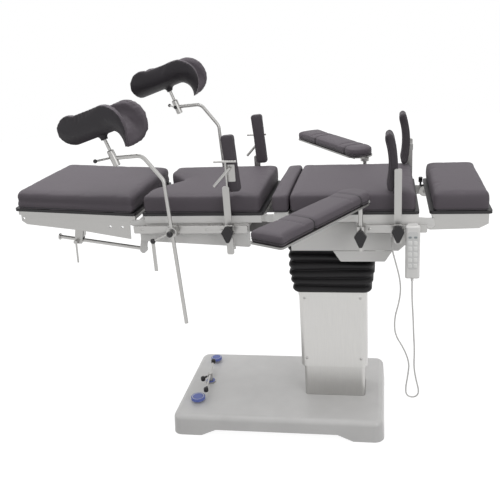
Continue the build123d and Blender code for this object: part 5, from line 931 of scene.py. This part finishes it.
def fasteners():
    """Socket screws on the rails, the housing and the column's cover, alike on both sides."""
    steel = brushed("screw steel", (0, 1, 0))
    seat_rail, back_rail = (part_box(name)[1][1] for name in ("seat_rails", "back_rails"))
    spots = {
        # body: x, distance of the face from the middle plane and z of its screws
        "top": [(x, seat_rail, RAIL_HEIGHT) for x in (-0.415, -0.140, -0.080)]
        + [(x, HOUSING_FACE, z) for x, z in HOUSING_SCREWS],
        "back": [(x, back_rail, RAIL_HEIGHT) for x in (0.515, 0.650)],
        "lift": [(x, COLUMN_FACE, z) for x in (0.222, 0.468) for z in (0.600, 0.300)],
    }
    for body, places in spots.items():
        screws = [lathe_points(SCREW, (x, sign * face, z), (0, sign, 0), 20)
                  for _, sign in SIDES for x, face, z in places]
        merged("screws_" + body, screws, steel, body)


def spindle_ring():
    """Blue ring round the brake spindle's collar."""
    block = lathe_points(RING, SPINDLE_COLLAR, (0, 0, 1), 40)
    blue = moulded("spindle ring", shade("blue"), 0.35)
    merged("spindle_ring", [block], blue, "brake_handle")


def dress(names, material):
    """Gives CAD nodes a finish."""
    for name in names:
        node = NODES[name]
        if node.material_slots:
            for item in node.material_slots:
                item.material = material
        else:
            node.data.materials.append(material)


# black parts of steel pieces: (centre, radius) of the ball round each
STRUT_GRIP = [((-0.729, -0.195, 0.935), 0.022)]
HEAD_KNOB = [((0.734, 0.236, 1.036), 0.026)]
LEVER_GRIPS = [((-0.257, -0.141, 0.143), 0.024), ((-0.296, -0.045, 0.143), 0.024),
               ((-0.286, 0.126, 0.143), 0.024)]
HOLDER_Y, STAR_Y = 0.318, 0.3505
SWIVELS = ((-0.278, -1), (-0.190, 1))  # x and side of each
LEVER_REACH, LEVER_HEIGHT = 0.085, 0.944
TEES = ((-0.49884, 1.292, -1), (-0.41591, 1.397, 1))  # x, z and side of each
TEE_WAY, TEE_REACHES = (-50.0, 74.0), (-0.02225, 0.06675)
BALL, STAR, TEE_BALL = 0.0113, 0.0145, 0.0083


def lever_blobs():
    """Black ball and star knobs on the leg holders' swivels."""
    places = []
    for x, sign in SWIVELS:
        places.append(((x - LEVER_REACH, sign * HOLDER_Y, LEVER_HEIGHT), BALL))
        places.append(((x, sign * STAR_Y, RAIL_HEIGHT), STAR))
    return places


def tee_blobs():
    """Black balls at the ends of the leg holders' T-bars, at two reaches along each bar."""
    places = []
    for x, z, sign in TEES:
        along = np.array((TEE_WAY[0], sign * TEE_WAY[1], 0.0))
        along /= np.linalg.norm(along)
        for reach in TEE_REACHES:
            places.append((tuple(np.array((x, sign * HOLDER_Y, z)) + along * reach), TEE_BALL))
    return places


def pairs(*names):
    """The near and the far node of each name."""
    return [name + "_" + side for name in names for side, _ in SIDES]


def finishes():
    """Every rigid piece's finish."""
    along, across, upright = (1, 0, 0), (0, 1, 0), (0, 0, 1)
    bars = pairs("leg_rod", "shoulder_post", "arm_post")
    for nodes, name, way, blobs, level in (
        # nodes, name of the steel, way of its streaks, black knobs, how light it is
        (["seat_rails", "back_rails"], "rail steel", along, (), 1.0),
        (["strut_rod"], "strut steel", along, STRUT_GRIP, 1.0),
        (["leg_frame"], "leg frame steel", along, (), 0.98),
        (["strut_clamp", "seat_rail_clamps", "back_rail_clamps"], "clamp steel", upright, (), 0.95),
        (bars, "bar steel", upright, (), 1.0),
        (pairs("hip_post"), "hip steel", upright, (), 0.96),
        (pairs("leg_pad_stem"), "stem steel", upright, tee_blobs(), 1.0),
        (pairs("leg_swivel"), "swivel steel", upright, lever_blobs(), 1.0),
        # the arm trays' steel is a darker copy of the steel, as painted shade
        (pairs("arm_board"), "tray steel", across, (), 0.6),
        (["head_frame"], "head steel", along, HEAD_KNOB, 1.0),
        (["inner_mast", "gimbal_cross"], "mast steel", upright, (), 0.8),
        # the column's steels are lighter copies of the steel, as painted light
        (["column_cover"], "column steel", upright, (), 1.25),
        (["lower_column"], "lower column steel", upright, (), 1.2),
        (["brake_lever"], "lever chrome", upright, LEVER_GRIPS, 1.0),
    ):
        dress(nodes, brushed(name, way, blobs, level))
    dress(["housing", "undertray", "kidney_carriage", "seat_frame", "back_frame"],
          painted("light enamel", shade("enamel")))
    dress(["saddle", "base_chassis"], painted("grey enamel", srgb(120, 118, 118)))
    dress(["base_cover"], moulded("base shell", shade("shell"), 0.30, 700.0, 0.00005))
    dress(["leg_board", "seat_board", "back_board", "head_board"],
          moulded("board laminate", srgb(26, 24, 27), 0.42))
    dress(["seat_clamp_knobs", "back_clamp_knobs", "base_feet"],
          moulded("black plastic", shade("black")))
    dress(["handset"], moulded("handset shell", srgb(236, 235, 233), 0.38))
    dress(["lock_pedal", "unlock_pedal"], pedal_finish())


# Studio

FLOOR_LEVEL = -0.0004
FLOOR_GLOW = 0.94
CAMERA_PLACE = (0.570, -2.820, 1.819)
CAMERA_TURN = (9.30, 19.79, -3.14)  # yaw, pitch and roll in degrees
CAMERA_SHIFT = -0.06
FOCAL = 1.3516  # focal length over the picture's width
SENSOR = 36.0


def stand(name, data, place, across, above, back):
    """An object of a lamp or camera at a place, with its own X, Y and Z along three directions."""
    holder = placed(name, data)
    turn = Matrix([list(row) for row in np.column_stack([across, above, back])])
    holder.matrix_world = Matrix.Translation(place) @ turn.to_4x4()
    return holder


def seen_rays(tree, *rays):
    """1 for rays of the named kinds, 0 for others."""
    path = tree.nodes.new("ShaderNodeLightPath")
    seen, *others = (Sock(tree, path.outputs[ray]) for ray in rays)
    for other in others:
        seen = seen.math("MAXIMUM", other)
    return seen


def aim(name, place, target, size, power):
    """A rectangular lamp at a place, turned towards a target."""
    lamp = bpy.data.lights.new(name, "AREA")
    lamp.energy = power
    lamp.shape = "RECTANGLE"
    lamp.size, lamp.size_y = size
    back = np.array(place, float) - np.array(target, float)
    back /= np.linalg.norm(back)
    across = np.cross((0, 0, 1), back)
    across /= np.linalg.norm(across)
    stand(name, lamp, place, across, np.cross(back, across), back)


def floor_finish():
    """Pale floor that keeps a soft shadow and fades into the white backdrop for the camera."""
    finish = Finish("studio floor")
    speck = finish.noise(3.0, 3.0)
    colour = finish.mix(speck, (0.20, 0.20, 0.20), (0.21, 0.21, 0.21))
    diffuse = finish.node("ShaderNodeBsdfDiffuse", Color=colour)
    seen = seen_rays(finish.tree, "Is Camera Ray", "Is Glossy Ray")
    glow = finish.node("ShaderNodeEmission", Color=(1, 1, 1, 1), Strength=seen * FLOOR_GLOW)
    both = finish.node("ShaderNodeAddShader")
    finish.tree.links.new(diffuse.outputs[0], both.inputs[0])
    finish.tree.links.new(glow.outputs[0], both.inputs[1])
    finish.node("ShaderNodeOutputMaterial", Surface=both.outputs[0])
    return finish.material


def studio():
    """Floor, even world light, two soft lamps and the camera of the photograph."""
    t = np.arange(64) * 2 * pi / 64
    rings = np.array([0.0, 1.5, 4.0, 9.0])[:, None]
    level = np.full((4, 64), FLOOR_LEVEL)
    points = np.stack([rings * np.cos(t), rings * np.sin(t), level], -1)
    floor = make_piece("floor", points, grid_faces(4, 64), floor_finish(), crease=False)
    tidy_mesh(floor)
    scene = bpy.context.scene
    world = bpy.data.worlds.new("studio")
    scene.world = world
    world.use_nodes = True
    tree = world.node_tree
    tree.nodes.clear()
    background = tree.nodes.new("ShaderNodeBackground")
    output = tree.nodes.new("ShaderNodeOutputWorld")
    seen = seen_rays(tree, "Is Camera Ray", "Is Glossy Ray", "Is Transmission Ray")
    level = sizes().world_level
    strength = seen * (1.0 - level) + level
    tree.links.new(strength.socket, background.inputs["Strength"])
    background.inputs["Color"].default_value = (1, 1, 1, 1)
    tree.links.new(background.outputs[0], output.inputs[0])
    aim("key_lamp", (-0.9, 0.3, 3.7), (0.0, 0.0, 0.9), (3.0, 2.6), sizes().key_lamp)
    aim("fill_lamp", (2.6, -2.6, 2.0), (0.1, 0.0, 0.8), (2.0, 2.0), sizes().fill_lamp)
    yaw, pitch, roll = (radians(angle) for angle in CAMERA_TURN)
    ahead = np.array([-sin(yaw) * cos(pitch), cos(yaw) * cos(pitch), -sin(pitch)])
    right = np.array([cos(yaw), sin(yaw), 0.0])
    above = np.cross(right, ahead)
    across = cos(roll) * right + sin(roll) * above
    upward = -sin(roll) * right + cos(roll) * above
    lens = bpy.data.cameras.new("camera")
    lens.sensor_width = SENSOR
    lens.lens = FOCAL * SENSOR
    lens.shift_x = CAMERA_SHIFT
    lens.clip_end = 60.0
    scene.camera = stand("camera", lens, CAMERA_PLACE, across, upward, -ahead)
    scene.view_settings.view_transform = "Standard"


# Operators, panel and registration


class TABLE_OT_Finishes(bpy.types.Operator):
    """Dress every rigid piece in its own finish."""

    bl_idname = "table.finishes"
    bl_label = "Finishes"

    def execute(self, context):
        finishes()
        return {"FINISHED"}


class TABLE_OT_SectionCushions(bpy.types.Operator):
    """Build the five section cushions with their seams."""

    bl_idname = "table.section_cushions"
    bl_label = "Section cushions"

    def execute(self, context):
        section_cushions()
        return {"FINISHED"}


class TABLE_OT_ArmPads(bpy.types.Operator):
    """Build the arm-board cushions."""

    bl_idname = "table.arm_pads"
    bl_label = "Arm pads"

    def execute(self, context):
        arm_pads()
        return {"FINISHED"}


class TABLE_OT_KneeGutters(bpy.types.Operator):
    """Build the padded knee gutters."""

    bl_idname = "table.knee_gutters"
    bl_label = "Knee gutters"

    def execute(self, context):
        knee_gutters()
        return {"FINISHED"}


class TABLE_OT_SidePads(bpy.types.Operator):
    """Build the hip and shoulder pads with their welts."""

    bl_idname = "table.side_pads"
    bl_label = "Side pads"

    def execute(self, context):
        side_pads()
        return {"FINISHED"}


class TABLE_OT_Bellows(bpy.types.Operator):
    """Build the pleated boot in its two halves."""

    bl_idname = "table.bellows"
    bl_label = "Bellows"

    def execute(self, context):
        bellows_boot()
        return {"FINISHED"}


class TABLE_OT_Cord(bpy.types.Operator):
    """Hang the hand control's cord."""

    bl_idname = "table.cord"
    bl_label = "Cord"

    def execute(self, context):
        handset_cord()
        return {"FINISHED"}


class TABLE_OT_Keypad(bpy.types.Operator):
    """Build the hand control's panel, keys and lamps."""

    bl_idname = "table.keypad"
    bl_label = "Keypad"

    def execute(self, context):
        handset_keys()
        return {"FINISHED"}


class TABLE_OT_Fasteners(bpy.types.Operator):
    """Set the socket screws on rails and covers."""

    bl_idname = "table.fasteners"
    bl_label = "Fasteners"

    def execute(self, context):
        fasteners()
        return {"FINISHED"}


class TABLE_OT_SpindleRing(bpy.types.Operator):
    """Set the blue ring round the brake spindle."""

    bl_idname = "table.spindle_ring"
    bl_label = "Spindle ring"

    def execute(self, context):
        spindle_ring()
        return {"FINISHED"}


class TABLE_OT_Studio(bpy.types.Operator):
    """Lay the floor and set the lamps and the camera."""

    bl_idname = "table.studio"
    bl_label = "Studio"

    def execute(self, context):
        studio()
        return {"FINISHED"}


OPERATORS = [
    TABLE_OT_Finishes,
    TABLE_OT_SectionCushions,
    TABLE_OT_ArmPads,
    TABLE_OT_KneeGutters,
    TABLE_OT_SidePads,
    TABLE_OT_Bellows,
    TABLE_OT_Cord,
    TABLE_OT_Keypad,
    TABLE_OT_Fasteners,
    TABLE_OT_SpindleRing,
    TABLE_OT_Studio,
]


class TABLE_PT_panel(bpy.types.Panel):
    """Lists the building steps and the properties."""

    bl_idname = "TABLE_PT_panel"
    bl_label = "Operating Table"
    bl_space_type = "VIEW_3D"
    bl_region_type = "UI"
    bl_category = "Operating Table"

    def draw(self, context):
        for group in (context.scene.table_colours, context.scene.table_sizes):
            for name in group.__annotations__:
                self.layout.prop(group, name)
        for item in OPERATORS:
            self.layout.operator(item.bl_idname)


CLASSES = [TableColours, TableSizes] + OPERATORS + [TABLE_PT_panel]


def register():
    """Registers the classes and hangs the properties on the scene."""
    for item in CLASSES:
        bpy.utils.register_class(item)
    bpy.types.Scene.table_colours = bpy.props.PointerProperty(type=TableColours)
    bpy.types.Scene.table_sizes = bpy.props.PointerProperty(type=TableSizes)


def unregister():
    """Takes the properties and classes away again."""
    del bpy.types.Scene.table_sizes
    del bpy.types.Scene.table_colours
    for item in reversed(CLASSES):
        bpy.utils.unregister_class(item)


def main():
    """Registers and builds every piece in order."""
    register()
    for item in OPERATORS:
        group, name = item.bl_idname.split(".")
        getattr(getattr(bpy.ops, group), name)()


if __name__ == "__main__":
    main()
